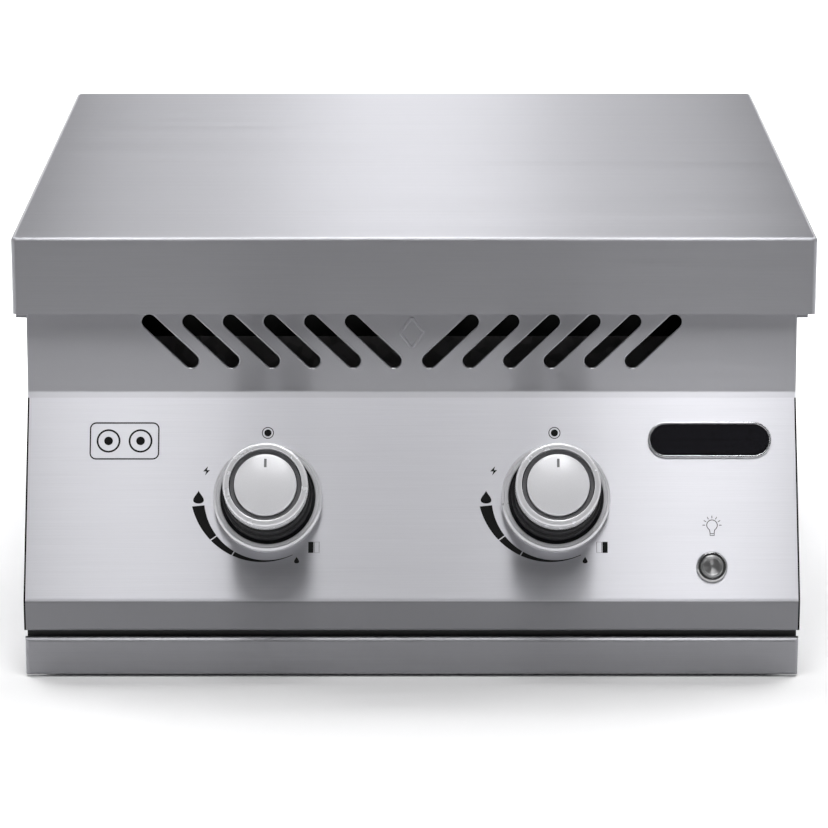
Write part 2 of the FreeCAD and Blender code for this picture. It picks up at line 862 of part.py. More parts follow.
def burner_head():
    """Brass ring with flame ports cut through its upper edge."""
    low = pan_floor_z + neck_height
    high = low + head_height
    outline = [(head_bore, low), (head_radius - head_foot[0], low), (head_radius, low + head_foot[1]),
               (head_radius, high), (head_bore, high)]
    head = turned(outline, [0, 0, 1, 1, 0])
    cutters = []
    for i in range(port_count):
        port = block(head_bore - past, head_radius + past, -port_width / 2, port_width / 2,
                     high - port_height - port_cover, high - port_cover)
        port.rotate(FreeCAD.Vector(0, 0, 0), FreeCAD.Vector(0, 0, 1), 360.0 * i / port_count)
        cutters.append(port)
    head = head.cut(Part.makeCompound(cutters))
    head.translate(FreeCAD.Vector(burner_x, burner_y, 0))
    return head


def burner_cap():
    low = pan_floor_z + neck_height + head_height
    rim = head_radius - cap_overhang
    top = low + cap_thickness + cap_crown
    edge = low + cap_thickness
    centre = FreeCAD.Vector(0, 0, top)
    rim_point = FreeCAD.Vector(rim, 0, edge)
    radius = (rim * rim + cap_crown * cap_crown) / (2 * cap_crown)
    half_angle = math.asin(rim / radius) / 2
    middle = FreeCAD.Vector(radius * math.sin(half_angle), 0, top - radius * (1 - math.cos(half_angle)))
    edges = [Part.LineSegment(FreeCAD.Vector(0, 0, low), FreeCAD.Vector(rim, 0, low)).toShape(),
             Part.LineSegment(FreeCAD.Vector(rim, 0, low), rim_point).toShape(),
             Part.Arc(rim_point, middle, centre).toShape(),
             Part.LineSegment(centre, FreeCAD.Vector(0, 0, low)).toShape()]
    cap = Part.Face(Part.Wire(edges)).revolve(FreeCAD.Vector(0, 0, 0), FreeCAD.Vector(0, 0, 1), 360)
    cap.translate(FreeCAD.Vector(burner_x, burner_y, 0))
    return cap


def outlet_z():
    """Height of the valve outlet and of the burner tube's level run."""
    return slope_mid[1] - knob_drop * math.cos(tilt) + valve_back * math.sin(tilt) + outlet_rise


def manifold_y():
    drop = -knob_drop - manifold_drop
    return slope_mid[0] + drop * math.sin(tilt) + manifold_set_in * math.cos(tilt)


def manifold_z():
    drop = -knob_drop - manifold_drop
    return slope_mid[1] + drop * math.cos(tilt) - manifold_set_in * math.sin(tilt)


def burner_tube():
    """Air and gas tube from the open mouth at the valve to the bowl."""
    z = outlet_z()
    top = bowl_low_z - bowl_floor
    jog_start = tube_mouth_y + tube_jog[0]
    route = [(knob_x, tube_mouth_y, z), (knob_x, jog_start, z), (burner_x, jog_start + tube_jog[1], z),
             (burner_x, burner_y, z), (burner_x, burner_y, top)]
    return routed(route, tube_bend, tube_radius, tube_radius - tube_wall)


def valve_body():
    """Brass body: barrel round the plug, front plate, saddle on the manifold, level outlet."""
    wide, high, thick = valve_flange
    rear = valve_face - thick
    plate = block(-wide / 2, wide / 2, -high / 2, high / 2, rear, valve_face)
    barrel = axis_rod(valve_radius, valve_back, rear)
    boss = rod(inlet_boss_radius, (0, 0, -manifold_set_in), (0, -manifold_drop, -manifold_set_in))
    body = on_panel(fuse([plate, barrel, boss]), knob_x, -knob_drop)
    start_y = outlet_end_y - outlet_length
    outlet = rod(outlet_radius, (knob_x, start_y, outlet_z()), (knob_x, outlet_end_y, outlet_z()))
    body = fuse([body, outlet])
    cavity_back = plug_front - plug_length - plug_end_gap
    cavity = axis_rod(plug_radius + plug_fit, cavity_back, rear - valve_front_web)
    stem_hole = axis_rod(stem_radius + stem_fit, rear - past, valve_face + past)
    body = body.cut(on_panel(cavity, knob_x, -knob_drop))
    body = body.cut(on_panel(stem_hole, knob_x, -knob_drop))
    y = manifold_y()
    z = manifold_z()
    return body.cut(rod(manifold_radius, (-half_body, y, z), (half_body, y, z)))


def stem_section(radius, flat, w0, w1):
    """Round bar with one flat, as the stem's driving end has."""
    bar = axis_rod(radius, w0, w1)
    side = radius + past
    return bar.cut(block(-side, side, flat, side, w0 - past, w1 + past))


def valve_plug():
    back = plug_front - plug_length
    plug = axis_rod(plug_radius, back, plug_front)
    key_floor = back + plug_key_floor
    key = stem_section(stem_radius + stem_fit, stem_flat + stem_fit, key_floor, plug_front + past)
    port_z = back + plug_port_inset
    port = rod(plug_port_radius, (0, 0, port_z), (0, -plug_radius - past, port_z))
    return on_panel(plug.cut(key).cut(port), knob_x, -knob_drop)


def valve_stem():
    tip = plug_front - plug_length + plug_key_floor + push_travel + stem_gap
    grip_top = knob_base + stem_grip
    shoulder = plug_front + push_travel + stem_gap
    upper = axis_rod(stem_radius, shoulder, grip_top)
    lower = stem_section(stem_radius, stem_flat, tip, shoulder)
    collar_top = valve_face - valve_flange[2] - collar_gap_behind
    collar = axis_rod(collar_radius, collar_top - collar_height, collar_top)
    return on_panel(fuse([upper, lower, collar]), knob_x, -knob_drop)


def valve_spring():
    high = valve_face - valve_flange[2] - collar_gap_behind - collar_height
    spring = coil(spring_radius, spring_wire, spring_turns, plug_front + spring_seat, high - spring_seat)
    return on_panel(spring, knob_x, -knob_drop)


def knob_bezel():
    bevel = bezel_bevel
    outline = [(bezel_bore, 0), (bezel_radius, 0), (bezel_radius, bezel_height - bevel),
               (bezel_radius - bevel, bezel_height), (bezel_inner, bezel_height),
               (bezel_inner, bezel_floor), (bezel_bore, bezel_floor)]
    return on_panel(turned(outline, [0, 0, 0.5, 0.5, 0.6, 0, 0]), knob_x, -knob_drop)


def light_ring():
    low = bezel_floor
    high = bezel_floor + light_ring_height
    outline = [(light_ring_bore, low), (bezel_inner, low), (bezel_inner, high), (light_ring_bore, high)]
    return on_panel(turned(outline), knob_x, -knob_drop)


def knob_body():
    """Stepped grip, narrower towards the front, bored for the stem."""
    steps = [knob_base + height for height in knob_step_heights]
    r1, r2, r3 = knob_step_radii
    front = knob_base + hub_height
    outline = [(0, knob_base), (r1, knob_base), (r1, steps[0]), (r2, steps[0]), (r2, steps[1]),
               (r3, steps[1]), (r3, steps[2]), (ring_bore, steps[2]), (ring_bore, front), (0, front)]
    body = turned(outline, [0, 0.6, 1.0, 0.6, 1.0, 0.6, 0, 0, 0, 0])
    return on_panel(body.cut(axis_rod(stem_radius, 0, knob_base + stem_grip)), knob_x, -knob_drop)


def knob_ring():
    low = knob_base + knob_step_heights[2]
    high = low + ring_height
    outline = [(ring_bore, low), (ring_radius, low), (ring_radius, high), (ring_bore, high)]
    return on_panel(turned(outline, [0, 0.4, ring_bevel, 0.5]), knob_x, -knob_drop)


def knob_cap():
    """Domed face plate standing in the ring with a groove round it."""
    low = knob_base + hub_height
    edge = low + knob_cap_height
    top = edge + knob_cap_crown
    sphere = (cap_radius ** 2 + knob_cap_crown ** 2) / (2 * knob_cap_crown)
    half_angle = math.asin(cap_radius / sphere) / 2
    middle = FreeCAD.Vector(sphere * math.sin(half_angle), 0, top - sphere * (1 - math.cos(half_angle)))
    corners = [FreeCAD.Vector(0, 0, low), FreeCAD.Vector(cap_radius, 0, low),
               FreeCAD.Vector(cap_radius, 0, edge), FreeCAD.Vector(0, 0, top)]
    edges = [Part.LineSegment(corners[0], corners[1]).toShape(),
             Part.LineSegment(corners[1], corners[2]).toShape(),
             Part.Arc(corners[2], middle, corners[3]).toShape(),
             Part.LineSegment(corners[3], corners[0]).toShape()]
    cap = Part.Face(Part.Wire(edges)).revolve(FreeCAD.Vector(0, 0, 0), FreeCAD.Vector(0, 0, 1), 360)
    return on_panel(cap, knob_x, -knob_drop)


def orifices():
    """The two brass jets, hexagonal, each with its drilled hole."""
    jets = []
    for side in (-1, 1):
        x = side * knob_x
        jet = hexagon(2 * orifice_radius, orifice_length, 0)
        jet = jet.cut(axis_rod(jet_radius, -past, orifice_length + past))
        jet.rotate(FreeCAD.Vector(0, 0, 0), FreeCAD.Vector(1, 0, 0), -90)
        jet.translate(FreeCAD.Vector(x, outlet_end_y, outlet_z()))
        jets.append(jet)
    return Part.makeCompound(jets)


def gas_manifold():
    y = manifold_y()
    z = manifold_z()
    pipe = rod(manifold_radius, (manifold_left, y, z), (manifold_right, y, z))
    hollow = rod(manifold_radius - manifold_wall, (manifold_left + manifold_plug, y, z),
                 (manifold_right - manifold_plug, y, z))
    pipe = pipe.cut(hollow)
    tap = rod(inlet_pipe_radius, (inlet_pipe_x, y, z), (inlet_pipe_x, y + manifold_radius + past, z))
    return pipe.cut(tap)


def inlet_pipe():
    z = manifold_z()
    start = manifold_y() + manifold_radius - manifold_wall
    end = chassis_back - inlet_pipe_end_gap
    outer = rod(inlet_pipe_radius, (inlet_pipe_x, start, z), (inlet_pipe_x, end, z))
    bore = inlet_pipe_radius - inlet_pipe_wall
    return outer.cut(rod(bore, (inlet_pipe_x, start - past, z), (inlet_pipe_x, end + past, z)))


def facing_back(shape, y):
    """Turn a piece drawn up its Z axis to point backwards from y on the inlet's axis."""
    shape.rotate(FreeCAD.Vector(0, 0, 0), FreeCAD.Vector(1, 0, 0), -90)
    shape.translate(FreeCAD.Vector(inlet_pipe_x, y, manifold_z()))
    return shape


def gas_inlet():
    """Bulkhead fitting: hexagon inside the back wall, shank through it, threaded nose outside."""
    width, length = inlet_hex
    shank_radius, shank_reach = inlet_shank
    flare_radius, flare_length = inlet_flare
    shoulder = length + sheet + shank_reach
    nose_end = shoulder + inlet_thread_length
    flare_end = nose_end + flare_length
    hexagonal = hexagon(width, length, 0)
    shank = axis_rod(shank_radius, length - past, shoulder)
    nose = axis_rod(inlet_thread_radius, shoulder - past, nose_end)
    flare = Part.makeCone(inlet_thread_radius, flare_radius, flare_length,
                          FreeCAD.Vector(0, 0, nose_end), FreeCAD.Vector(0, 0, 1))
    body = fuse([hexagonal, shank, nose, flare]).cut(axis_rod(inlet_bore, -past, flare_end + past))
    return facing_back(body, chassis_back - sheet - length)


def inlet_locknut():
    """Nut on the shank that clamps the fitting to the back wall from outside."""
    nut = hexagon(inlet_hex[0], inlet_locknut_height, 0)
    return facing_back(nut.cut(axis_rod(inlet_shank[0], -past, inlet_locknut_height + past)), chassis_back)


def heat_shield():
    half = half_chassis - sheet
    low = shield_bottom
    top = pan_floor_z - shield_top_gap
    plate = block(-half, half, shield_y, shield_y + sheet, low, top)
    lip = block(-half, half, shield_y - shield_lip, shield_y + sheet, low, low + sheet)
    shield = fuse([plate, lip])
    holes = [(knob_x, outlet_z(), tube_radius), (-knob_x, outlet_z(), tube_radius),
             (inlet_pipe_x, manifold_z(), inlet_pipe_radius)]
    for side in (-1, 1):
        turn_x, level, front = lead_place(side)
        holes.append((turn_x, level, lead_radius))
    for x, z, radius in holes:
        hole = rod(radius + shield_clearance, (x, shield_y - through, z), (x, shield_y + through, z))
        shield = shield.cut(hole)
    return shield


def spark_module():
    wide, deep, high = module_size
    box = block(module_x - wide / 2, module_x + wide / 2, shield_y - deep, shield_y,
                module_z - high / 2, module_z + high / 2)
    box = box.makeFillet(module_corner, upright_edges(box))
    door_wide, door_proud, door_high = module_door
    door = block(module_x - door_wide / 2, module_x + door_wide / 2,
                 shield_y - deep - door_proud, shield_y - deep + past,
                 module_z - door_high / 2, module_z + door_high / 2)
    return fuse([box, door])


def electrode():
    """Ceramic post through the pan with a bent wire tip aimed at the head."""
    y = electrode_y
    top = pan_floor_z + electrode_rise
    post = rod(electrode_radius, (burner_x, y, electrode_low_z), (burner_x, y, top))
    tail = rod(tail_radius, (burner_x, y, tail_low_z), (burner_x, y, electrode_low_z))
    tip_y = burner_y - head_radius - tip_gap
    tip_z = top + tip_rise
    tip_route = [(burner_x, y, top - past), (burner_x, y, tip_z), (burner_x, tip_y, tip_z)]
    return fuse([post, tail, routed(tip_route, tip_bend, tip_radius)])


def lead_place(side):
    """Where a lead turns back through the shield: across, up, and how far forward it starts."""
    if side < 0:
        across = module_x + module_size[0] / 2 + left_lead_gap
        return across, module_z + left_lead_rise, shield_y - left_lead_set_in
    return burner_x - right_lead_gap, module_z - right_lead_drop, shield_y - right_lead_set_in


def ignition_lead(side):
    """Insulated lead from the spark module to one electrode."""
    module_right = module_x + module_size[0] / 2
    turn_x, level, front = lead_place(side)
    route = [(module_right, front, level), (turn_x, front, level),
             (turn_x, electrode_y - lead_turn_back, level),
             (side * burner_x, electrode_y, level), (side * burner_x, electrode_y, tail_low_z)]
    return routed(route, lead_bend, lead_radius)


def ignition_leads():
    return Part.makeCompound([ignition_lead(-1), ignition_lead(1)])


def switch_housing():
    low = button_proud + button_bezel_height - button_length - button_travel - button_spring_room
    bevel = button_bezel_bevel
    outline = [(0, -barrel_length), (barrel_radius, -barrel_length), (barrel_radius, 0),
               (button_bezel_radius, 0), (button_bezel_radius, button_bezel_height - bevel),
               (button_bezel_radius - bevel, button_bezel_height), (button_bore, button_bezel_height),
               (button_bore, low), (0, low)]
    return on_panel(turned(outline, [0, 0.5, 0, 0, 0.4, 0.4, 0, 0, 0]), button_u, button_v)


def switch_nut():
    nut = hexagon(nut_width, nut_height, -sheet - nut_height)
    nut = nut.cut(axis_rod(barrel_radius, -barrel_length, 0))
    return on_panel(nut, button_u, button_v)


def switch_button():
    high = button_bezel_height + button_proud
    outline = [(0, high - button_length), (button_bore - button_gap, high - button_length),
               (button_bore - button_gap, high), (0, high)]
    return on_panel(turned(outline, [0, 0, button_round, 0]), button_u, button_v)


def switch_spring():
    high = button_bezel_height + button_proud - button_length
    low = high - button_travel - button_spring_room
    spring = coil(button_spring_radius, button_spring_wire, button_spring_turns,
                  low + button_spring_seat, high - button_spring_seat)
    return on_panel(spring, button_u, button_v)


def nameplate():
    long, high = plate_size
    return on_panel(stadium(long, high, 0, plate_thickness), plate_u, plate_v)


def drip_tray():
    half = half_tray
    front = lip_y + sheet
    pan = tray_shell(-half, half, front, tray_back, tray_floor_z, tray_top_z, tray_sheet, tray_corner)
    wings = []
    for side in (-1, 1):
        edge = sorted((side * (half - wing_root), side * (half + tray_lap)))
        wings.append(block(edge[0], edge[1], front + wing_front, tray_back - wing_rear,
                           tray_top_z - tray_sheet, tray_top_z))
    return fuse([pan] + wings)


def drip_tray_front():
    half = half_rail
    back = lip_y + sheet + rail_return
    outer = block(-half, half, lip_y, back, rail_lift, rail_top_z)
    front_edges = [e for e in outer.Edges if e.BoundBox.YMax < lip_y + closeness]
    outer = outer.makeFillet(rail_bend, front_edges)
    inner = block(-half + sheet, half - sheet, lip_y + sheet, back + past,
                  rail_lift + sheet, rail_top_z - sheet)
    return outer.cut(inner)


def tray_runner():
    """Right channel that the tray's wing slides in."""
    web_x = half_chassis - sheet
    low = tray_top_z - tray_sheet - slide_gap - sheet
    high = tray_top_z + guide_gap
    front = leg_front + channel_front
    back = tray_back + channel_rear
    web = block(web_x - sheet, web_x, front, back, low - channel_skirt, high + sheet)
    shelf = block(web_x - channel_lip, web_x, front, back, low, low + sheet)
    guide = block(web_x - channel_lip, web_x, front, back, high, high + sheet)
    return fuse([web, shelf, guide])


def fixing_screws():
    """Deck screws and burner screws, all alike: pan head on a plain shank."""
    wide, high = screw_head
    slot_wide, slot_deep = screw_slot
    screws = []
    places = [(x, deck_screw_y, deck_top_z, deck_screw_length) for x in deck_screw_x]
    for side in (-1, 1):
        for x, y in burner_screw_places(side):
            places.append((x, y, pan_floor_z, burner_screw_length))
    for x, y, z, length in places:
        top = z + high
        head = rod(wide, (x, y, z), (x, y, top))
        head = head.makeFillet(screw_head_round, [e for e in head.Edges if e.BoundBox.ZMin > top - closeness])
        slot = block(x - wide, x + wide, y - slot_wide / 2, y + slot_wide / 2, top - slot_deep, top + past)
        shank = rod(screw_radius, (x, y, z - length), (x, y, z))
        screws.append(fuse([head.cut(slot), shank]))
    return Part.makeCompound(screws)


def cover_bumpers():
    bumpers = []
    for x in (-bumper_x, bumper_x):
        for y in bumper_y:
            bumper = rod(bumper_radius, (x, y, deck_top_z), (x, y, deck_top_z + bumper_height))
            bumpers.append(bumper)
    return Part.makeCompound(bumpers)


os.makedirs("parts", exist_ok=True)

singles = {
    "cover_shell": cover_shell, "cover_rests": cover_rests, "control_panel": control_panel,
    "front_crossmember": front_crossmember, "chassis_back_wall": chassis_back_wall, "deck": deck,
    "burner_pan": burner_pan, "grate_rail": grate_rail, "orifices": orifices,
    "gas_manifold": gas_manifold, "inlet_pipe": inlet_pipe, "gas_inlet": gas_inlet,
    "inlet_locknut": inlet_locknut, "heat_shield": heat_shield,
    "spark_module": spark_module, "switch_housing": switch_housing, "switch_nut": switch_nut,
    "switch_button": switch_button, "switch_spring": switch_spring, "nameplate": nameplate,
    "drip_tray": drip_tray, "drip_tray_front": drip_tray_front, "fixing_screws": fixing_screws,
    "cover_bumpers": cover_bumpers, "ignition_leads": ignition_leads,
}
for name, make in singles.items():
    save(name, make())

pairs = {
    "panel_end": panel_end, "chassis_side": chassis_side,
    "cooking_grate": cooking_grate, "burner_bowl": burner_bowl, "burner_head": burner_head,
    "burner_cap": burner_cap, "burner_tube": burner_tube, "electrode": electrode,
    "valve_body": valve_body, "valve_plug": valve_plug, "valve_stem": valve_stem,
    "valve_spring": valve_spring, "knob_bezel": knob_bezel, "knob_body": knob_body,
    "knob_ring": knob_ring, "knob_cap": knob_cap,
}
for name, make in pairs.items():
    right = make()
    save("right_" + name, right)
    save("left_" + name, mirrored(right))

# Like pairs that share a node, one solid on each side
joined_pairs = {"light_rings": light_ring, "tray_runners": tray_runner}
for name, make in joined_pairs.items():
    right = make()
    save(name, Part.makeCompound([right, mirrored(right)]))
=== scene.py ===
import math

import bmesh
import bpy
import numpy as np
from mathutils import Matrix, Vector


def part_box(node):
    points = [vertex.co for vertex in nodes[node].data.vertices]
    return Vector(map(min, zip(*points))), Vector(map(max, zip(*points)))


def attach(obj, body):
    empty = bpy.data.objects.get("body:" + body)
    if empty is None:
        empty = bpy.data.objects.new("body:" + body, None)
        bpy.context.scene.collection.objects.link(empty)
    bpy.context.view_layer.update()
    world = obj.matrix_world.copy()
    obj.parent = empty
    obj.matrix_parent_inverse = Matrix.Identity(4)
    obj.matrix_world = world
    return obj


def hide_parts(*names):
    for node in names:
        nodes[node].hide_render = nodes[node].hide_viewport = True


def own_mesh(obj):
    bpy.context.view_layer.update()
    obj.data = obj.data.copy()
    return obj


# Built-in side burner: what each piece looks like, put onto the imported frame.
# Metres, with x to the right, y towards the back and z up from the surface that the burner stands on.
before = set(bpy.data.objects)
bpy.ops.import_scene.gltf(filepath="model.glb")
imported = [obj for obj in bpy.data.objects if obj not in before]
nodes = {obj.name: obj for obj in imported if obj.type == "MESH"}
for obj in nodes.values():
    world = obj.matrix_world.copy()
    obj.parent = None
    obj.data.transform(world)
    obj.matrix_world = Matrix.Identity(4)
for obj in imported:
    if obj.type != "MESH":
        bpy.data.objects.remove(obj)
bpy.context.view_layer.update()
mm = 0.001


# The camera stands in front of the burner and looks down on it at the photograph's angle.
camera_place = (0.0013, -2.4048, 0.7531)
camera_down = math.radians(15.31)
camera_lens = 165.56

camera = bpy.data.objects.new("camera", bpy.data.cameras.new("camera"))
camera.data.lens = camera_lens
camera.data.sensor_width = 36.0
camera.location = camera_place
camera.rotation_euler = (math.pi / 2 - camera_down, 0, 0)
bpy.context.collection.objects.link(camera)
bpy.context.scene.camera = camera


# The floor is matt off-white studio paper, one flat sheet that reaches far past the view on every side. It
# carries the burner's shadow. In front of the burner, out of the picture, a field of it is graduated to dark
# grey, which is what the upright front faces mirror.
floor_reach = 12.0
floor_white = (0.97, 0.97, 0.975, 1)
floor_shade = 0.955
graduated_from, graduated_to = -0.52, -0.85
graduated_end = (-1.5, -1.9)
graduated_half_width = (0.5, 0.75)
graduated_grey = (0.035, 0.035, 0.036, 1)


def add(tree, kind, sockets=None, **settings):
    """A new node: each named socket is linked where it is given a node's output, and otherwise set."""
    node = tree.nodes.new(kind)
    for name, value in settings.items():
        setattr(node, name, value)
    for name, value in (sockets or {}).items():
        if isinstance(value, bpy.types.NodeSocket):
            tree.links.new(value, node.inputs[name])
        else:
            node.inputs[name].default_value = value
    return node


def finish(name, **sockets):
    """A new material: its node tree and its Principled shader, whose own sockets are set by name."""
    material = bpy.data.materials.new(name)
    material.use_nodes = True
    tree = material.node_tree
    shader = tree.nodes["Principled BSDF"]
    for socket, value in sockets.items():
        shader.inputs[socket.replace("_", " ")].default_value = value
    return material, tree, shader


def link(tree, shader, **sockets):
    """Joins worked-out colours and values to the shader's sockets, by name."""
    for socket, value in sockets.items():
        tree.links.new(value, shader.inputs[socket.replace("_", " ")])


def spot(tree, source="Object"):
    """Where the shaded point lies, in the object's own coordinates unless another kind is named."""
    return add(tree, "ShaderNodeTexCoord").outputs[source]


def split(tree, vector):
    """The parts of a vector, by the names X, Y and Z."""
    return add(tree, "ShaderNodeSeparateXYZ", {"Vector": vector}).outputs


def reckon(tree, operation, *values):
    """The result of one step of arithmetic."""
    return add(tree, "ShaderNodeMath", dict(enumerate(values)), operation=operation).outputs[0]


def noise(tree, size, stretch=(1, 1, 1), detail=3.0, source="Object"):
    """Cloudy noise between 0 and 1 whose patches measure about size metres, longer along a stretched axis."""
    scale = [1 / (size * part) for part in stretch]
    mapped = add(tree, "ShaderNodeMapping", {"Vector": spot(tree, source), "Scale": scale})
    sockets = {"Vector": mapped.outputs["Vector"], "Scale": 1.0, "Detail": detail}
    return add(tree, "ShaderNodeTexNoise", sockets).outputs["Fac"]


def ranged(tree, value, low, high, from_low=0.25, from_high=0.75):
    """The value carried from one range to another, and held at the ends."""
    return add(tree, "ShaderNodeMapRange", {"Value": value, "From Min": from_low, "From Max": from_high,
                                            "To Min": low, "To Max": high}).outputs["Result"]


def blended(tree, share, first, second):
    """A colour that goes from the first to the second as share goes from 0 to 1."""
    mix = add(tree, "ShaderNodeMix", data_type="RGBA")
    for socket, value in zip([s for s in mix.inputs if s.enabled], (share, first, second)):
        if isinstance(value, bpy.types.NodeSocket):
            tree.links.new(value, socket)
        else:
            socket.default_value = value
    return [s for s in mix.outputs if s.enabled][0]


def mottled(tree, pattern, first, second):
    """A colour that wanders between the first and the second as the noise pattern does."""
    return blended(tree, ranged(tree, pattern, 0, 1), first, second)


def grey(value, blue=1.0):
    """A grey of one value, made cooler where blue is above 1."""
    return (value, value, value * blue, 1)


paper, tree, shader = finish("studio_paper", Roughness=0.95, Specular_IOR_Level=0.15)
tooth = noise(tree, 1.5 * mm)
white = mottled(tree, tooth, floor_white, grey(floor_shade, 1.005))
here = split(tree, spot(tree))
near = ranged(tree, here["Y"], 1, 0, graduated_to, graduated_from)
far = ranged(tree, here["Y"], 0, 1, graduated_end[1], graduated_end[0])
beside = ranged(tree, reckon(tree, "ABSOLUTE", here["X"]), 1, 0, *graduated_half_width)
field = reckon(tree, "MULTIPLY", reckon(tree, "MULTIPLY", near, far), beside)
link(tree, shader, Base_Color=blended(tree, field, white, graduated_grey))

corners = [(x, y, 0) for x, y in ((-1, -1), (1, -1), (1, 1), (-1, 1))]
floor_mesh = bpy.data.meshes.new("floor")
floor_mesh.from_pydata((np.array(corners) * floor_reach).tolist(), [], [(0, 1, 2, 3)])
floor_mesh.materials.append(paper)
floor = bpy.data.objects.new("floor", floor_mesh)
bpy.context.collection.objects.link(floor)


# Studio light: softboxes hang level above the burner. Those in front light the sloping panel, those behind
# draw the cover's soft highlight, and four broad ones at the sides whiten the paper and fill the knobs. Only
# the walls left and right of the room are light, low down.
lamp_spread = math.radians(120)
lamp_height = 2.2

# Each lamp's span across, its span along and its own radiance, whatever its size.
hung = {
    "front_left_far": ((-0.50, -0.25), (-2.0, -1.2), 1.8),
    "front_left": ((-0.50, -0.25), (-1.2, -0.4), 4.1),
    "front_middle": ((-0.25, 0.25), (-1.2, -0.4), 2.75),
    "front_right": ((0.25, 0.50), (-2.0, -0.4), 3.9),
    "back_middle_near": ((-0.15, 0.15), (0.4, 1.2), 4.1),
    "back_middle_far": ((-0.15, 0.15), (1.2, 2.4), 2.2),
    "back_left": ((-0.45, -0.15), (0.4, 2.4), 1.5),
    "back_right": ((0.15, 0.45), (0.4, 2.4), 1.3),
    "back_side_left": ((-3.2, -0.75), (0.3, 4.0), 4.3),
    "back_side_right": ((0.75, 3.2), (0.3, 4.0), 4.3),
    "front_side_left": ((-3.4, -1.5), (-3.6, -1.2), 2.0),
    "front_side_right": ((1.5, 3.4), (-3.6, -1.2), 2.0),
}

# A direction meets a side wall where its x is beyond the first pair, and passes over the wall where its z is
# beyond the second pair.
wall_turn = (0.3, 0.5)
wall_top = (0.25, 0.5)
wall_brightness = 0.4
room_brightness = 0.03

for name, (across, along, brightness) in hung.items():
    lamp = bpy.data.lights.new("softbox_" + name, "AREA")
    lamp.shape = "RECTANGLE"
    lamp.size, lamp.size_y = across[1] - across[0], along[1] - along[0]
    lamp.spread = lamp_spread
    lamp.energy = brightness * math.pi * lamp.size * lamp.size_y
    holder = bpy.data.objects.new("softbox_" + name, lamp)
    holder.location = (sum(across) / 2, sum(along) / 2, lamp_height)
    holder.visible_camera = False
    bpy.context.collection.objects.link(holder)

room = bpy.data.worlds.new("room")
bpy.context.scene.world = room
room.use_nodes = True
tree = room.node_tree
direction = split(tree, spot(tree, "Generated"))
walls = ranged(tree, reckon(tree, "ABSOLUTE", direction["X"]), 0, wall_brightness, *wall_turn)
low = ranged(tree, direction["Z"], 1, 0, *wall_top)
lit = reckon(tree, "MULTIPLY_ADD", walls, low, room_brightness)
background = tree.nodes["Background"]
background.inputs["Color"].default_value = (1, 1, 1, 1)
link(tree, background, Strength=lit)


# Chassis: two side walls with the counter flange turned out, and a back wall with vent slots, all bent from
# stainless sheet with a plain mill finish. The seams are spot welded from inside.
def dress(material, *names):
    """Gives CAD nodes a finish."""
    for name in names:
        for slot in nodes[name].material_slots:
            slot.material = material


def relief(tree, shader, height, depth, under=None):
    """Bumps of the given depth in metres where height is 1, on top of another bump if there is one."""
    bump = add(tree, "ShaderNodeBump", {"Height": height, "Distance": depth, "Strength": 1.0})
    if under is not None:
        tree.links.new(under.outputs["Normal"], bump.inputs["Normal"])
    link(tree, shader, Normal=bump.outputs["Normal"])
    return bump


sheet_blue = 1.06


def brushed(name, base, roughness, anisotropy, line=0.35 * mm, run=60 * mm, depth=0.004 * mm):
    """Stainless sheet brushed from side to side: fine lines along x that widen its highlights up and down."""
    material, tree, shader = finish(name, Metallic=1.0, Anisotropic=anisotropy, Anisotropic_Rotation=0.25)
    stretch = (run / line, 1, 1)
    lines = noise(tree, line, stretch, 4.0)
    bands = noise(tree, 9 * line, stretch, 2.0)
    clouds = noise(tree, 70 * mm, (2.5, 1, 1), 2.0)
    dark, light = grey(base * 0.955, sheet_blue), grey(base * 1.04, sheet_blue)
    tint = mottled(tree, lines, dark, light)
    shade = blended(tree, ranged(tree, clouds, 0, 0.35), tint, grey(base * 0.95, sheet_blue))
    link(tree, shader, Base_Color=shade)
    link(tree, shader, Roughness=ranged(tree, bands, roughness - 0.02, roughness + 0.025))
    along = add(tree, "ShaderNodeCombineXYZ", {"X": 1.0})
    world = add(tree, "ShaderNodeVectorTransform", {"Vector": along.outputs[0]}, vector_type="VECTOR",
                convert_from="OBJECT", convert_to="WORLD")
    link(tree, shader, Tangent=world.outputs[0])
    relief(tree, shader, lines, depth)
    return material, tree, shader


mill_steel, tree, shader = brushed("mill_steel", 0.36, 0.38, 0.55, line=0.5 * mm, run=25 * mm)
dress(mill_steel, "left_chassis_side", "right_chassis_side", "chassis_back_wall")


# Front crossmember: a folded sheet channel that closes the gap between the panel's lip and the drip tray.
# Its near-black colour is painted shade for that gap, over a fine orange-peel texture.
gap_shade_black, tree, shader = finish("black_painted_gap_shade", Roughness=0.62)
orange_peel = noise(tree, 0.5 * mm, detail=2.0)
# Painted shade: the near-black colour stands in for the shade in the gap.
link(tree, shader, Base_Color=mottled(tree, orange_peel, grey(0.012), grey(0.022, 1.06)))
relief(tree, shader, orange_peel, 0.03 * mm)
dress(gap_shade_black, "front_crossmember")


# Deck, grate rail, cover rests and burner pan: stainless sheet with a satin finish. The pan is faintly
# browned by heat round the burners. Its outer front wall, seen through the vent slots, is painted near
# black: painted shade.
burner_places = [tuple(np.mean(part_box(hand + "_burner_cap"), axis=0)[:2]) for hand in ("left", "right")]


def round_distance(tree, x, y):
    """How far a point of the surface lies from the upright line at (x, y)."""
    offset = add(tree, "ShaderNodeVectorMath", {0: spot(tree), 1: (x, y, 0)}, operation="SUBTRACT").outputs[0]
    flat = add(tree, "ShaderNodeVectorMath", {0: offset, 1: (1, 1, 0)}, operation="MULTIPLY").outputs[0]
    return add(tree, "ShaderNodeVectorMath", {0: flat}, operation="LENGTH").outputs["Value"]


def burner_distance(tree):
    """How far a point of the surface lies from the nearer burner's upright axis."""
    return reckon(tree, "MINIMUM", *[round_distance(tree, *axis) for axis in burner_places])


satin_steel, tree, shader = brushed("satin_steel", 0.55, 0.33, 0.6, line=0.45 * mm, run=35 * mm)
dress(satin_steel, "deck", "grate_rail", "cover_rests")

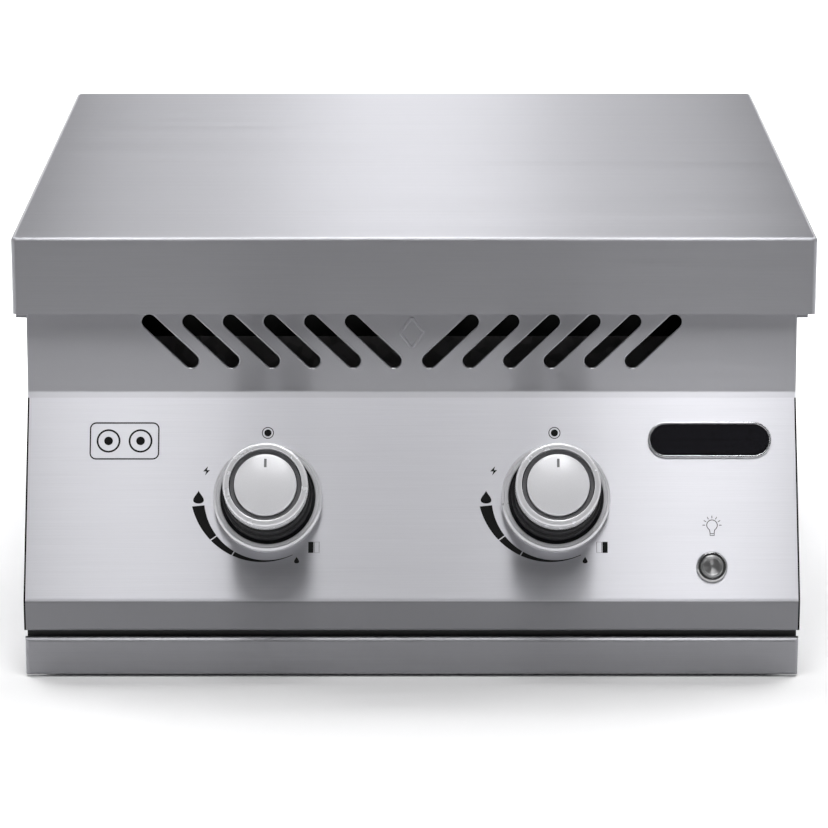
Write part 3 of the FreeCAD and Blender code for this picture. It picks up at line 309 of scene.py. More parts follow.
heated_and_shaded_steel, tree, shader = brushed("heated_and_shaded_steel", 0.5, 0.36, 0.5, line=0.45 * mm, run=35 * mm)
wander = ranged(tree, noise(tree, 20 * mm), -8 * mm, 8 * mm)
ragged = reckon(tree, "ADD", burner_distance(tree), wander)
straw = ranged(tree, ragged, 0.55, 0.0, 52 * mm, 95 * mm)
clean = shader.inputs["Base Color"].links[0].from_socket
tinted = blended(tree, straw, clean, (0.46, 0.36, 0.22, 1))
# Painted shade: the forward-facing outer wall at the pan's front is coloured near black.
pan_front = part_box("burner_pan")[0][1]
facing = split(tree, add(tree, "ShaderNodeNewGeometry").outputs["True Normal"])
forward = ranged(tree, facing["Y"], 1, 0, -0.8, -0.4)
near = ranged(tree, split(tree, spot(tree))["Y"], 1, 0, pan_front + 10 * mm, pan_front + 14 * mm)
outer = reckon(tree, "MULTIPLY", forward, near)
link(tree, shader, Base_Color=blended(tree, outer, tinted, grey(0.03)))
dress(heated_and_shaded_steel, "burner_pan")


# Heat shield, tray runners, manifold, inlet pipe and burner tubes: zinc-coated steel, with the coating's
# spangle and its dull grey bloom.
spangle_size = 7 * mm

zinc, tree, shader = finish("galvanised", Metallic=0.85)
sockets = {"Vector": spot(tree), "Scale": 1 / spangle_size, "Randomness": 1.0}
spangle = add(tree, "ShaderNodeTexVoronoi", sockets)
flakes = add(tree, "ShaderNodeSeparateColor", {"Color": spangle.outputs["Color"]}).outputs[0]
bloom = noise(tree, 30 * mm)
facets = blended(tree, flakes, grey(0.40, 1.03), grey(0.58, 1.02))
link(tree, shader, Base_Color=blended(tree, ranged(tree, bloom, 0, 0.5), facets, grey(0.45, 1.05)))
link(tree, shader, Roughness=ranged(tree, flakes, 0.36, 0.52, 0, 1))
relief(tree, shader, flakes, 0.01 * mm)
dress(zinc, "heat_shield", "tray_runners", "gas_manifold", "inlet_pipe", "left_burner_tube",
      "right_burner_tube")


# Gas inlet, its locknut, the two valves and the jets: turned and milled brass, slightly tarnished, with fine
# tool marks. The valves' stems are drawn steel.
brass, tree, shader = finish("brass", Metallic=1.0)
tool_marks = noise(tree, 0.25 * mm, (1, 8, 8))
tarnish = noise(tree, 9 * mm)
bright = mottled(tree, tool_marks, (0.66, 0.47, 0.20, 1), (0.76, 0.58, 0.29, 1))
link(tree, shader, Base_Color=blended(tree, ranged(tree, tarnish, 0, 0.6), bright, (0.42, 0.29, 0.14, 1)))
link(tree, shader, Roughness=ranged(tree, tarnish, 0.22, 0.42))
relief(tree, shader, tool_marks, 0.01 * mm)
dress(brass, "gas_inlet", "inlet_locknut", "orifices", "left_valve_body", "right_valve_body",
      "left_valve_plug", "right_valve_plug")

wire_steel, tree, shader = finish("drawn_steel", Metallic=1.0)
drawn = noise(tree, 0.3 * mm, (1, 6, 6))
link(tree, shader, Base_Color=mottled(tree, drawn, grey(0.40), grey(0.52, 1.02)))
link(tree, shader, Roughness=ranged(tree, drawn, 0.25, 0.38))
dress(wire_steel, "left_valve_stem", "right_valve_stem")


# Burners: a cast iron bowl under the pan, a brass ring with cut flame ports on its neck, and a cast cap.
# The castings keep their sand texture under black stove enamel; the brass is browned round the ports.
cast_iron, tree, shader = finish("cast_iron", Roughness=0.6, Metallic=0.35)
sand = noise(tree, 0.9 * mm, detail=5.0)
lumps = noise(tree, 6 * mm)
link(tree, shader, Base_Color=mottled(tree, sand, grey(0.035), grey(0.075, 1.02)))
link(tree, shader, Roughness=ranged(tree, lumps, 0.5, 0.72))
relief(tree, shader, sand, 0.08 * mm, relief(tree, shader, lumps, 0.05 * mm))
dress(cast_iron, "left_burner_bowl", "right_burner_bowl", "left_burner_cap", "right_burner_cap")

port_brass, tree, shader = finish("heated_brass", Metallic=1.0)
turning = noise(tree, 0.3 * mm, (10, 10, 1))
head_low, head_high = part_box("left_burner_head")
scorch = ranged(tree, split(tree, spot(tree))["Z"], 0, 0.75, head_low[2], head_high[2])
bright = mottled(tree, turning, (0.60, 0.43, 0.19, 1), (0.72, 0.55, 0.28, 1))
link(tree, shader, Base_Color=blended(tree, scorch, bright, (0.23, 0.15, 0.10, 1)))
link(tree, shader, Roughness=ranged(tree, turning, 0.28, 0.42))
relief(tree, shader, turning, 0.02 * mm)
dress(port_brass, "left_burner_head", "right_burner_head")


# Ignition: a glazed ceramic post at each burner, a moulded spark box on the heat shield and red
# silicone-sleeved leads between them.
ceramic, tree, shader = finish("glazed_ceramic", Roughness=0.22, Coat_Weight=0.6, Coat_Roughness=0.08)
specks = noise(tree, 1.2 * mm, detail=6.0)
glaze, fleck = (0.80, 0.77, 0.70, 1), (0.55, 0.48, 0.40, 1)
link(tree, shader, Base_Color=blended(tree, ranged(tree, specks, 0, 1, 0.55, 0.75), glaze, fleck))
relief(tree, shader, specks, 0.02 * mm)
dress(ceramic, "left_electrode", "right_electrode")

moulded, tree, shader = finish("black_moulding", Roughness=0.5)
spark_texture = noise(tree, 0.35 * mm, detail=2.0)
link(tree, shader, Base_Color=mottled(tree, spark_texture, grey(0.022), grey(0.038, 1.03)))
link(tree, shader, Roughness=ranged(tree, spark_texture, 0.42, 0.56))
relief(tree, shader, spark_texture, 0.03 * mm)
dress(moulded, "spark_module")

sleeve, tree, shader = finish("silicone_sleeve", Roughness=0.45, Sheen_Weight=0.15)
dust = noise(tree, 2.5 * mm)
link(tree, shader, Base_Color=mottled(tree, dust, (0.30, 0.025, 0.02, 1), (0.38, 0.05, 0.035, 1)))
relief(tree, shader, dust, 0.03 * mm)
dress(sleeve, "ignition_leads")


# Cooking grates: round stainless rods welded across two bars, electropolished, with a small weld bead on
# each side of every crossing and a straw tint over the flame.
grate_steel, tree, shader = finish("rod_steel", Metallic=1.0)
scratches = noise(tree, 0.4 * mm, (3, 30, 3), 4.0)
polish = mottled(tree, scratches, grey(0.50), grey(0.60, 1.02))
over_flame = ranged(tree, burner_distance(tree), 0.6, 0, 20 * mm, 70 * mm)
link(tree, shader, Base_Color=blended(tree, over_flame, polish, (0.44, 0.32, 0.20, 1)))
link(tree, shader, Roughness=ranged(tree, scratches, 0.2, 0.34))
relief(tree, shader, scratches, 0.01 * mm)
dress(grate_steel, "left_cooking_grate", "right_cooking_grate")

rod_count = 8
rod_pitch = 24.5 * mm
rod_radius = 3.5 * mm
crossbar_radius = 4.5 * mm
crossbar_inset = 16 * mm
weld_overlap = 0.8 * mm
bead_radii = np.array([1.5, 3.2, 1.3]) * mm
bead_lean = 0.55
bead_rows, bead_sides = 7, 10
same_place = 1e-7
sharp_angle = math.radians(35)


def piece(name, material, body, points, faces):
    """A closed mesh that rides on a body. Doubles at seams and poles are joined, and all faces turn out."""
    mesh = bpy.data.meshes.new(name)
    mesh.from_pydata(points.reshape(-1, 3).tolist(), [], faces)
    shape = bmesh.new()
    shape.from_mesh(mesh)
    bmesh.ops.remove_doubles(shape, verts=shape.verts, dist=same_place)
    bmesh.ops.recalc_face_normals(shape, faces=shape.faces)
    shape.to_mesh(mesh)
    shape.free()
    mesh.shade_smooth()
    mesh.set_sharp_from_angle(angle=sharp_angle)
    mesh.materials.append(material)
    thing = bpy.data.objects.new(name, mesh)
    bpy.context.collection.objects.link(thing)
    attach(thing, body)
    return thing


def grid_faces(rows, columns, wrap_rows=False, first=0):
    """Four-sided faces between neighbours of a grid whose columns join up at the end, and rows if asked."""
    i = np.arange(rows if wrap_rows else rows - 1)[:, None]
    j = np.arange(columns)[None, :]
    below, beside = (i + 1) % rows, (j + 1) % columns
    here, under = i * columns, below * columns
    faces = np.stack([here + j, here + beside, under + beside, under + j], -1)
    return (faces.reshape(-1, 4) + first).tolist()


def weld_beads(name, body, grate):
    """Flattened balls, one at each place: (cos e cos a, cos e sin a, sin e) stretched by the bead's radii."""
    low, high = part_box(grate)
    bar_z = low[2] + crossbar_radius
    bead_z = bar_z + crossbar_radius - weld_overlap / 2
    first_x = (low[0] + high[0] - rod_pitch * (rod_count - 1)) / 2
    rod_x = first_x + rod_pitch * np.arange(rod_count)
    bar_y = np.array([low[1] + crossbar_inset, high[1] - crossbar_inset])
    lean = np.array([-1, 1]) * rod_radius * bead_lean
    x, y, side = np.meshgrid(rod_x, bar_y, lean, indexing="ij")
    places = np.stack([x + side, y, np.full(x.shape, bead_z)], -1).reshape(-1, 1, 1, 3)
    rise = np.linspace(-math.pi / 2, math.pi / 2, bead_rows)[:, None]
    turn = np.arange(bead_sides)[None, :] * (2 * math.pi / bead_sides)
    ball = np.stack([np.cos(rise) * np.cos(turn), np.cos(rise) * np.sin(turn), np.sin(rise) + 0 * turn], -1)
    points = places + ball * bead_radii
    faces = []
    for k in range(len(points)):
        faces += grid_faces(bead_rows, bead_sides, first=bead_rows * bead_sides * k)
    return piece(name, grate_steel, body, points, faces)


for hand in ("left", "right"):
    weld_beads(hand + "_grate_welds", hand + "_grate", hand + "_cooking_grate")


# Drip tray: a folded stainless pan on side wings, behind a brushed rail that serves as its handle. The rail
# has the control panel's grain in a darker tone, which is painted shade for the dark surroundings it mirrors.
rail_steel, tree, shader = brushed("rail_steel", 0.33, 0.34, 0.95)
dress(rail_steel, "drip_tray_front")
dress(satin_steel, "drip_tray")


# Control panel: one folded sheet with an upright vented strip, a slope for the knobs and a short lip, and an
# end plate at each side whose front edge below the strip is painted black as painted shade. The strip and
# the lip get a darker tone than the slope: painted shade, for dark surroundings that they mirror and that
# the studio gives only in part.
lip_top = 47.6 * mm
lip_shade_tone = 0.27
strip_foot = 157.5 * mm
strip_shade_tone = 0.55

panel_steel, tree, shader = brushed("panel_steel", 0.64, 0.345, 1.0)
clean = shader.inputs["Base Color"].links[0].from_socket
height = split(tree, spot(tree))["Z"]
# Painted shade: the lip and the strip are coloured darker than the slope.
lip = ranged(tree, height, 1, 0, lip_top - 0.3 * mm, lip_top)
strip = ranged(tree, height, 0, 1, strip_foot, strip_foot + 0.5 * mm)
strip_shaded = blended(tree, strip, clean, grey(strip_shade_tone, sheet_blue))
link(tree, shader, Base_Color=blended(tree, lip, strip_shaded, grey(lip_shade_tone, sheet_blue)))
dress(panel_steel, "control_panel")

edge_steel, tree, shader = brushed("panel_end_steel", 0.64, 0.345, 0.9)
clean = shader.inputs["Base Color"].links[0].from_socket
# Painted shade: the end plates' front edges below the strip are coloured near black.
facing = split(tree, add(tree, "ShaderNodeNewGeometry").outputs["True Normal"])
edge_on = ranged(tree, reckon(tree, "ABSOLUTE", facing["X"]), 1, 0, 0.3, 0.6)
below = ranged(tree, split(tree, spot(tree))["Z"], 1, 0, strip_foot, strip_foot + 0.5 * mm)
painted_edge_shade = reckon(tree, "MULTIPLY", edge_on, below)
link(tree, shader, Base_Color=blended(tree, painted_edge_shade, clean, grey(0.006)))
dress(edge_steel, "left_panel_end", "right_panel_end")

# A small raised diamond stands between the two rows of vent slots, pressed out of the strip.
strip_lean = math.atan2(3.6, 50.5)
diamond_place = np.array([0, -188.47, 197.0]) * mm
diamond_half = np.array([7.0, 9.5]) * mm
diamond_ridge = 0.7 * mm


def rounded(corners, radii, steps=7):
    """A closed outline whose corners are arcs. With u and v the unit sides at a corner and half the angle
    between them h, the arc of radius r starts r / tan h along each side; a quadratic through start, corner
    and end whose middle weight is sin h is that arc exactly."""
    corner = np.array(corners, float)
    radius = np.array(radii, float)[:, None]
    back = np.roll(corner, 1, axis=0) - corner
    on = np.roll(corner, -1, axis=0) - corner
    back /= np.linalg.norm(back, axis=1, keepdims=True)
    on /= np.linalg.norm(on, axis=1, keepdims=True)
    half = np.arccos(np.clip((back * on).sum(1, keepdims=True), -1, 1)) / 2
    cut = radius / np.tan(half)
    t = np.linspace(0, 1, steps)[None, :, None]
    weight = np.sin(half)[:, :, None]
    start = (corner + back * cut)[:, None]
    end = (corner + on * cut)[:, None]
    top = (1 - t) ** 2 * start + 2 * t * (1 - t) * weight * corner[:, None] + t ** 2 * end
    arcs = top / ((1 - t) ** 2 + 2 * t * (1 - t) * weight + t ** 2)
    outline = arcs.reshape(-1, 2)
    apart = np.linalg.norm(outline - np.roll(outline, 1, axis=0), axis=1)
    return outline[apart > same_place]


def edge_normals(outline):
    """Unit normals of a closed outline drawn counter-clockwise: the direction through each point's two
    neighbours, turned a quarter to the right."""
    along = np.roll(outline, -1, axis=0) - np.roll(outline, 1, axis=0)
    along /= np.linalg.norm(along, axis=1, keepdims=True)
    return np.stack([along[:, 1], -along[:, 0]], -1)


def moulding(outline, section):
    """A closed section (out, up) carried along a closed outline: each point is outline + out * normal, at
    height up. The result is a grid of (across, up the face, out of it)."""
    normal = edge_normals(outline)
    flat = outline[None] + section[:, 0, None, None] * normal[None]
    height = np.broadcast_to(section[:, 1, None, None], flat.shape[:2] + (1,))
    return np.concatenate([flat, height], -1)


def face_frame(middle, lean):
    """Carries (across, up, out) points onto a flat face that leans back from the upright by an angle."""
    upward = np.array([0, math.sin(lean), math.cos(lean)])
    outward = np.array([0, -math.cos(lean), math.sin(lean)])
    directions = np.stack([np.array([1.0, 0, 0]), upward, outward])
    return lambda points: middle + points @ directions


on_strip = face_frame(diamond_place, strip_lean)
ridge_section = np.array([(-1.2, -0.5), (1.2, -0.5), (0.5, 1.0), (-0.5, 1.0)]) * [mm, diamond_ridge]
diamond = rounded([(0, -diamond_half[1]), (diamond_half[0], 0), (0, diamond_half[1]), (-diamond_half[0], 0)],
                  [1.2 * mm] * 4)
ridge = moulding(diamond, rounded(ridge_section, [0, 0, 0.25 * mm, 0.25 * mm], 4))
piece("vent_diamond", panel_steel, "body", on_strip(ridge),
      grid_faces(len(ridge), len(diamond), wrap_rows=True))


# Printed marks on the slope: thin black screen ink. Over each knob stands the off mark, to its left the spark
# and the high flame, round it the band that tapers to the low flame, and beside that which burner it is.
slope_lean = math.atan2(58.6, 113.7)
slope_middle = np.array([0, -220.32, 104.45]) * mm
on_slope = face_frame(slope_middle, slope_lean)
knob_places = {"left": np.array([-86.0, -2.0]) * mm, "right": np.array([86.0, -2.0]) * mm}
ink_height = 0.06 * mm

ink, tree, shader = finish("black_ink", Roughness=0.75, Specular_IOR_Level=0.12)
stipple = noise(tree, 0.3 * mm, detail=2.0)
link(tree, shader, Base_Color=mottled(tree, stipple, grey(0.006), grey(0.016)))
relief(tree, shader, stipple, 0.005 * mm)


def circle(radius, count=48):
    """Points at radius times (cos a, sin a), with a evenly spaced."""
    angle = np.arange(count) * (2 * math.pi / count)
    return radius * np.stack([np.cos(angle), np.sin(angle)], -1)


def slab(outline, low, high):
    """A flat shape between two heights: the outline twice, joined by four-sided walls and closed by lids."""
    count = len(outline)
    levels = np.array([low, high])[:, None, None]
    flat = np.broadcast_to(outline, (2, count, 2))
    points = np.concatenate([flat, np.broadcast_to(levels, (2, count, 1))], -1)
    lids = [list(range(count)), list(range(count, 2 * count))]
    return points, grid_faces(2, count) + lids


def stroke(width):
    """The flat section of a printed line."""
    half = width / 2
    return np.array([(-half, -ink_height), (half, -ink_height), (half, ink_height), (-half, ink_height)])


def printed(name, shapes):
    """One printed mark made of filled outlines and of (outline, line width) pairs, laid on the slope."""
    points, faces, used = [], [], 0
    for shape in shapes:
        if isinstance(shape, tuple):
            grid = moulding(shape[0], stroke(shape[1]))
            made = grid_faces(*grid.shape[:2], wrap_rows=True, first=used)
        else:
            grid, made = slab(shape, -ink_height, ink_height)
            made = [[index + used for index in face] for face in made]
        points.append(grid.reshape(-1, 3))
        faces += made
        used += len(points[-1])
    piece(name, ink, "body", on_slope(np.concatenate(points)), faces)


def bar(start, end, width):
    """A straight line with square ends, as a four-cornered outline."""
    start, end = np.array(start), np.array(end)
    along = (end - start) / np.linalg.norm(end - start)
    aside = np.array([along[1], -along[0]]) * width / 2
    return np.stack([start + aside, end + aside, end - aside, start - aside])


def flame(width, height, count=40):
    """A plain drop, for a through a full turn: x = -w sin a (1 - cos a) / 2.6 and y = h cos a / 2."""
    angle = np.arange(count) * (2 * math.pi / count)
    x = -width * np.sin(angle) * (1 - np.cos(angle)) / 2.6
    return np.stack([x, height / 2 * np.cos(angle)], -1)


def spark(height):
    """A plain zigzag of six corners."""
    shape = np.array([(0.16, 0.5), (-0.36, -0.06), (-0.02, -0.06), (-0.16, -0.5), (0.36, 0.08), (0.04, 0.08)])
    return shape * height


band_start, band_end = math.radians(185.8), math.radians(293.7)
band_radius = (38.2 * mm, 36.9 * mm)
band_width = (7.1 * mm, 0.35 * mm)
band_parts = ((0.0, 0.278), (0.287, 0.48), (0.489, 1.0))


def band(part):
    """Part of the tapering band: the inner edge's radius falls evenly, and the width as (1 - t) ** 1.6."""
    t = np.linspace(*part, 40)
    angle = band_start + (band_end - band_start) * t
    inner = band_radius[0] + (band_radius[1] - band_radius[0]) * t
    outer = inner + band_width[0] * (1 - t) ** 1.6 + band_width[1]
    ray = np.stack([np.cos(angle), np.sin(angle)], -1)
    return np.concatenate([ray * outer[:, None], (ray * inner[:, None])[::-1]])


def box_outline(width, height, corner=0.0):
    """A rectangle about the origin, whose corners are arcs where a radius is given."""
    x, y = width / 2, height / 2
    return rounded([(-x, -y), (x, -y), (x, y), (-x, y)], [corner] * 4, 7 if corner else 2)


off_mark = np.array([-0.4, 40.3]) * mm
spark_mark = np.array([-37.0, 17.1]) * mm
high_mark = np.array([-41.6, 1.2]) * mm
low_mark = np.array([17.3, -37.0]) * mm
side_mark = np.array([27.5, -29.4]) * mm

# The off mark is a ring and a dot, and the burner mark a filled box beside a hollow one.
off_ring, off_line, off_dot = 3.35 * mm, 0.5 * mm, 2.15 * mm
spark_height = 5.6 * mm
high_flame = (6.4 * mm, 8 * mm)
low_flame = (3.0 * mm, 4.2 * mm)
filled_box = (3.1 * mm, 6.7 * mm)
hollow_box = (2.9 * mm, 6.4 * mm)
hollow_line = 0.25 * mm
box_shift = 1.75 * mm

for hand, place in knob_places.items():
    off_place = place + off_mark
    printed(hand + "_off_mark", [(circle(off_ring) + off_place, off_line), circle(off_dot) + off_place])
    printed(hand + "_spark_mark", [spark(spark_height) + place + spark_mark])
    printed(hand + "_high_flame", [flame(*high_flame) + place + high_mark])
    printed(hand + "_flame_band", [band(part) + place for part in band_parts])
    printed(hand + "_low_flame", [flame(*low_flame) + place + low_mark])
    shift = np.array([-box_shift if hand == "left" else box_shift, 0])
    filled = box_outline(*filled_box) + place + side_mark + shift
    hollow = box_outline(*hollow_box) + place + side_mark - shift
    printed(hand + "_burner_mark", [filled, (hollow, hollow_line)])

# The light's mark is a bulb outline with seven rays; at the far left two rings in a frame stand for the hob.
bulb_place = np.array([179.3, -17.95]) * mm
bulb_radius = 3.15 * mm
neck_half = 1.25 * mm
neck_top, neck_foot = -4.2 * mm, -6.3 * mm
bulb_line = 0.45 * mm
ray_span = (4.1 * mm, 5.7 * mm)
ray_width = 0.42 * mm
thread_height = -5.2 * mm
thread_width = 0.4 * mm
glass_turn = np.linspace(math.radians(-58), math.radians(238), 48)
glass = bulb_radius * np.stack([np.cos(glass_turn), np.sin(glass_turn)], -1)
neck = np.array([(-neck_half, neck_top), (-neck_half, neck_foot),
                 (neck_half, neck_foot), (neck_half, neck_top)])
bulb = np.concatenate([glass, neck])
rays = []
for ray_turn in np.radians(np.arange(0, 181, 30)):
    aim = np.array([math.cos(ray_turn), math.sin(ray_turn)])
    rays.append(bar(aim * ray_span[0], aim * ray_span[1], ray_width) + bulb_place)
thread = bar((-neck_half, thread_height), (neck_half, thread_height), thread_width) + bulb_place
printed("light_mark", [(bulb + bulb_place, bulb_line), thread] + rays)

hob_place = np.array([-172.4, 33.4]) * mm
ring_apart = 9.6 * mm
hob_frame = (41 * mm, 22 * mm, 3.5 * mm)
hob_ring, hob_dot = 6.6 * mm, 2.6 * mm
frame_line, ring_line = 0.8 * mm, 1.1 * mm
hob = [(box_outline(*hob_frame) + hob_place, frame_line)]
for side in (-1, 1):
    centre = hob_place + [side * ring_apart, 0]
    hob += [(circle(hob_ring) + centre, ring_line), circle(hob_dot, 32) + centre]
printed("hob_mark", hob)


# Nameplate: a blank pill-shaped plate of black enamel inside a raised polished rim, die cast in one and
# stuck to the slope.
plate_place = np.array([178.6, 34.0]) * mm
plate_half = np.array([37.2, 11.0]) * mm
plate_rounding = 0.999
plate_height = 1.2 * mm
rim_width = 1.35 * mm
enamel_inset = 0.8 * rim_width
enamel_height = 0.75 * mm

enamel, tree, shader = finish("black_enamel", Roughness=0.16, Coat_Weight=0.5, Coat_Roughness=0.05)
orange_peel = noise(tree, 2.2 * mm, detail=2.0)
link(tree, shader, Base_Color=mottled(tree, orange_peel, grey(0.008, 1.2), grey(0.014, 1.3)))
relief(tree, shader, orange_peel, 0.01 * mm)


def lacquered(name, base, roughness, metal, speck=0.45 * mm):
    """Die-cast zinc under silver lacquer: a bright ground with a fine metallic grain that scatters light
    softly, under a clear coat that draws thin crisp highlights along its edges."""
    material, tree, shader = finish(name, Metallic=metal, Coat_Weight=0.8, Coat_Roughness=0.14)
    flake = noise(tree, speck, detail=4.0)
    haze = noise(tree, 7 * mm)
    link(tree, shader, Base_Color=mottled(tree, flake, grey(base * 0.96, 1.03), grey(base * 1.03, 1.035)))
    link(tree, shader, Roughness=ranged(tree, haze, roughness - 0.03, roughness + 0.03))
    relief(tree, shader, flake, 0.001 * mm)
    return material


plate_silver = lacquered("plate_silver", 0.80, 0.2, 0.75)
plate_outline = box_outline(2 * plate_half[0], 2 * plate_half[1], plate_half[1] * plate_rounding)
rim_corners = np.array([(-rim_width, 0), (0, 0), (0, plate_height), (-rim_width, plate_height)])
rim_section = rounded(rim_corners, [0, 0, 0.5 * mm, 0.3 * mm], 5)
rim = moulding(plate_outline, rim_section)
rim[..., :2] += plate_place
piece("nameplate_rim", plate_silver, "body", on_slope(rim),
      grid_faces(len(rim), len(plate_outline), wrap_rows=True))
inner = plate_outline - edge_normals(plate_outline) * enamel_inset
plate_points, plate_faces = slab(inner + plate_place, 0.0, enamel_height)
plate_face = piece("nameplate_face", enamel, "body", on_slope(plate_points), plate_faces)
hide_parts("nameplate")


# Knob: a stepped black grip, a silver ring pressed over its front and a domed satin cap inside the ring. It
# stands in a silver bezel that is clamped to the panel.
turn_count = 144
on_axis = 1e-6
endless = 1e6


def turned(name, profile, place, material, body, closed=False):
    """A profile of (radius, height) turned about an axis square to the slope: each point is
    (x + r cos a, y + r sin a, h). Its UV map runs once round in u and along the profile in v, in metres."""
    angle = np.arange(turn_count) * (2 * math.pi / turn_count)
    ring = np.stack([np.cos(angle), np.sin(angle)], -1)
    flat = profile[:, 0, None, None] * ring[None] + place
    height = np.broadcast_to(profile[:, 1, None, None], flat.shape[:2] + (1,))
    points = on_slope(np.concatenate([flat, height], -1))
    thing = piece(name, material, body, points, grid_faces(len(profile), turn_count, wrap_rows=closed))
    mesh = thing.data
    corners = np.empty(3 * len(mesh.vertices))
    mesh.vertices.foreach_get("co", corners)
    local = (corners.reshape(-1, 3) - on_slope(np.array([*place, 0]))) @ np.linalg.inv(
        on_slope(np.eye(3)) - on_slope(np.zeros(3)))
    used = np.empty(len(mesh.loops), int)
    mesh.loops.foreach_get("vertex_index", used)
    starts = np.empty(len(mesh.polygons), int)
    sizes = np.empty(len(mesh.polygons), int)
    mesh.polygons.foreach_get("loop_start", starts)
    mesh.polygons.foreach_get("loop_total", sizes)
    owner = np.repeat(np.arange(len(sizes)), sizes)
    turn = np.arctan2(local[used, 1], local[used, 0]) / (2 * math.pi)
    radius = np.hypot(local[used, 0], local[used, 1])
    lead = turn[starts][owner]
    turn = turn + np.round(lead - turn)
    turn = np.where(radius < on_axis, np.roll(turn, 1), turn)
    layer = mesh.uv_layers.new(name="round")
    layer.data.foreach_set("uv", np.stack([turn, radius + local[used, 2]], -1).ravel())
    return thing


def spun(name, base, roughness, anisotropy, depth):
    """Metal finished on a lathe: fine rings that draw its highlights out like the hands of a clock."""
    material, tree, shader = finish(name, Metallic=1.0, Anisotropic=anisotropy, Anisotropic_Rotation=0.25)
    tangent = add(tree, "ShaderNodeTangent", direction_type="UV_MAP", uv_map="round")
    link(tree, shader, Tangent=tangent.outputs["Tangent"])
    rings = noise(tree, 0.12 * mm, (endless, 1, 1), 2.0, "UV")
    haze = noise(tree, 8 * mm)
    link(tree, shader, Base_Color=mottled(tree, rings, grey(base * 0.96, 1.01), grey(base * 1.03, 1.01)))
    link(tree, shader, Roughness=ranged(tree, haze, roughness - 0.02, roughness + 0.03))
    relief(tree, shader, rings, depth)
    return material


bezel_silver = lacquered("bezel_silver", 0.93, 0.30, 0.35)
ring_silver = lacquered("ring_silver", 0.96, 0.26, 0.35)
groove_grey = lacquered("groove_grey", 0.17, 0.45, 0.5)
cap_satin = lacquered("cap_satin", 0.97, 0.36, 0.2)

etched, tree, shader = finish("etched_grey", Roughness=0.6, Metallic=0.4)
matt = noise(tree, 0.2 * mm)
link(tree, shader, Base_Color=mottled(tree, matt, grey(0.20, 1.03), grey(0.26, 1.03)))
relief(tree, shader, matt, 0.004 * mm)

rubber, tree, shader = finish("black_rubber", Specular_IOR_Level=0.3)
grain = noise(tree, 0.4 * mm, detail=3.0)
link(tree, shader, Base_Color=mottled(tree, grain, grey(0.006, 1.1), grey(0.011, 1.15)))
link(tree, shader, Roughness=ranged(tree, grain, 0.40, 0.52))
relief(tree, shader, grain, 0.015 * mm)

smoked, tree, shader = finish("smoked_light_guide", Roughness=0.3, Coat_Weight=0.3)
frost = noise(tree, 1.2 * mm)
link(tree, shader, Base_Color=mottled(tree, frost, grey(0.015, 1.1), grey(0.03, 1.15)))
relief(tree, shader, frost, 0.02 * mm)
dress(smoked, "light_rings")

bezel_profile = rounded(
    np.array([(9, 0), (32.5, 0), (32.5, 5.3), (31.3, 6.5), (30.75, 6.5), (30.6, 6.2), (30.3, 6.2),
              (30.15, 6.5), (28.4, 6.5), (28.4, 2), (9, 2)]) * mm,
    np.array([0, 0, 0.5, 0.35, 0.06, 0.05, 0.05, 0.06, 0.55, 0, 0]) * mm)
ring_profile = rounded(
    np.array([(21.4, 34.5), (25.1, 34.5), (25.1, 41.8), (24.3, 41.95), (24.3, 42.55), (25.1, 42.7),
              (25.1, 46.5), (21.4, 46.5)]) * mm,
    np.array([0, 0.4, 0.15, 0.1, 0.1, 0.2, 1.5, 0.6]) * mm)
groove_profile = rounded(
    np.array([(18.8, 41.1), (21.0, 41.1), (21.0, 43.4), (20.3, 42.9), (18.8, 42.9)]) * mm,
    np.array([0, 0, 0.2, 0.6, 0.2]) * mm)
cap_radius = 18.4 * mm
cap_edge = 45.0 * mm
cap_crown = 1.9 * mm
cap_sphere = (cap_radius ** 2 + cap_crown ** 2) / (2 * cap_crown)


def dome(radius):
    """Height of the cap's face: a ball's surface that rises by the crown between the rim and the middle."""
    return cap_edge + cap_crown - cap_sphere + np.sqrt(cap_sphere ** 2 - radius ** 2)


cap_foot = 41 * mm
cap_fillet = 0.5 * mm
cap_top = cap_edge + 0.02 * mm
shoulder = rounded([(0, cap_foot), (cap_radius, cap_foot), (cap_radius, cap_top), (0, cap_top)],
                   [0, 0, cap_fillet, 0])
crown_radius = np.linspace(cap_radius - 0.6 * mm, 0, 24)
crown = np.stack([crown_radius, dome(crown_radius)], -1)
shoulder = shoulder[(shoulder[:, 0] > cap_radius - 0.55 * mm) | (shoulder[:, 1] < cap_edge - mm)]
cap_profile = np.concatenate([shoulder, crown])
pointer_span = (10.2 * mm, 15.4 * mm)
pointer_width = 1.5 * mm
pointer_depth = 0.1 * mm

for hand, place in knob_places.items():
    knob = hand + "_knob"
    bezel = turned(knob + "_bezel_silver", bezel_profile, place, bezel_silver, "body",
                   closed=True)
    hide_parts(knob + "_bezel")
    ring = turned(knob + "_ring_silver", ring_profile, place, ring_silver, knob, closed=True)
    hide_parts(knob + "_ring")
    turned(knob + "_groove", groove_profile, place, groove_grey, knob, closed=True)
    cap = turned(knob + "_cap_satin", cap_profile, place, cap_satin, knob)
    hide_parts(knob + "_cap")
    stripe = bar((0, pointer_span[0]), (0, pointer_span[1]), pointer_width)
    pointer, pointer_faces = slab(stripe, -pointer_depth, ink_height)
    pointer[..., 2] += dome(np.hypot(pointer[..., 0], pointer[..., 1]))
    pointer[..., :2] += place
    piece(knob + "_pointer", etched, knob, on_slope(pointer), pointer_faces)
    dress(rubber, knob + "_body")


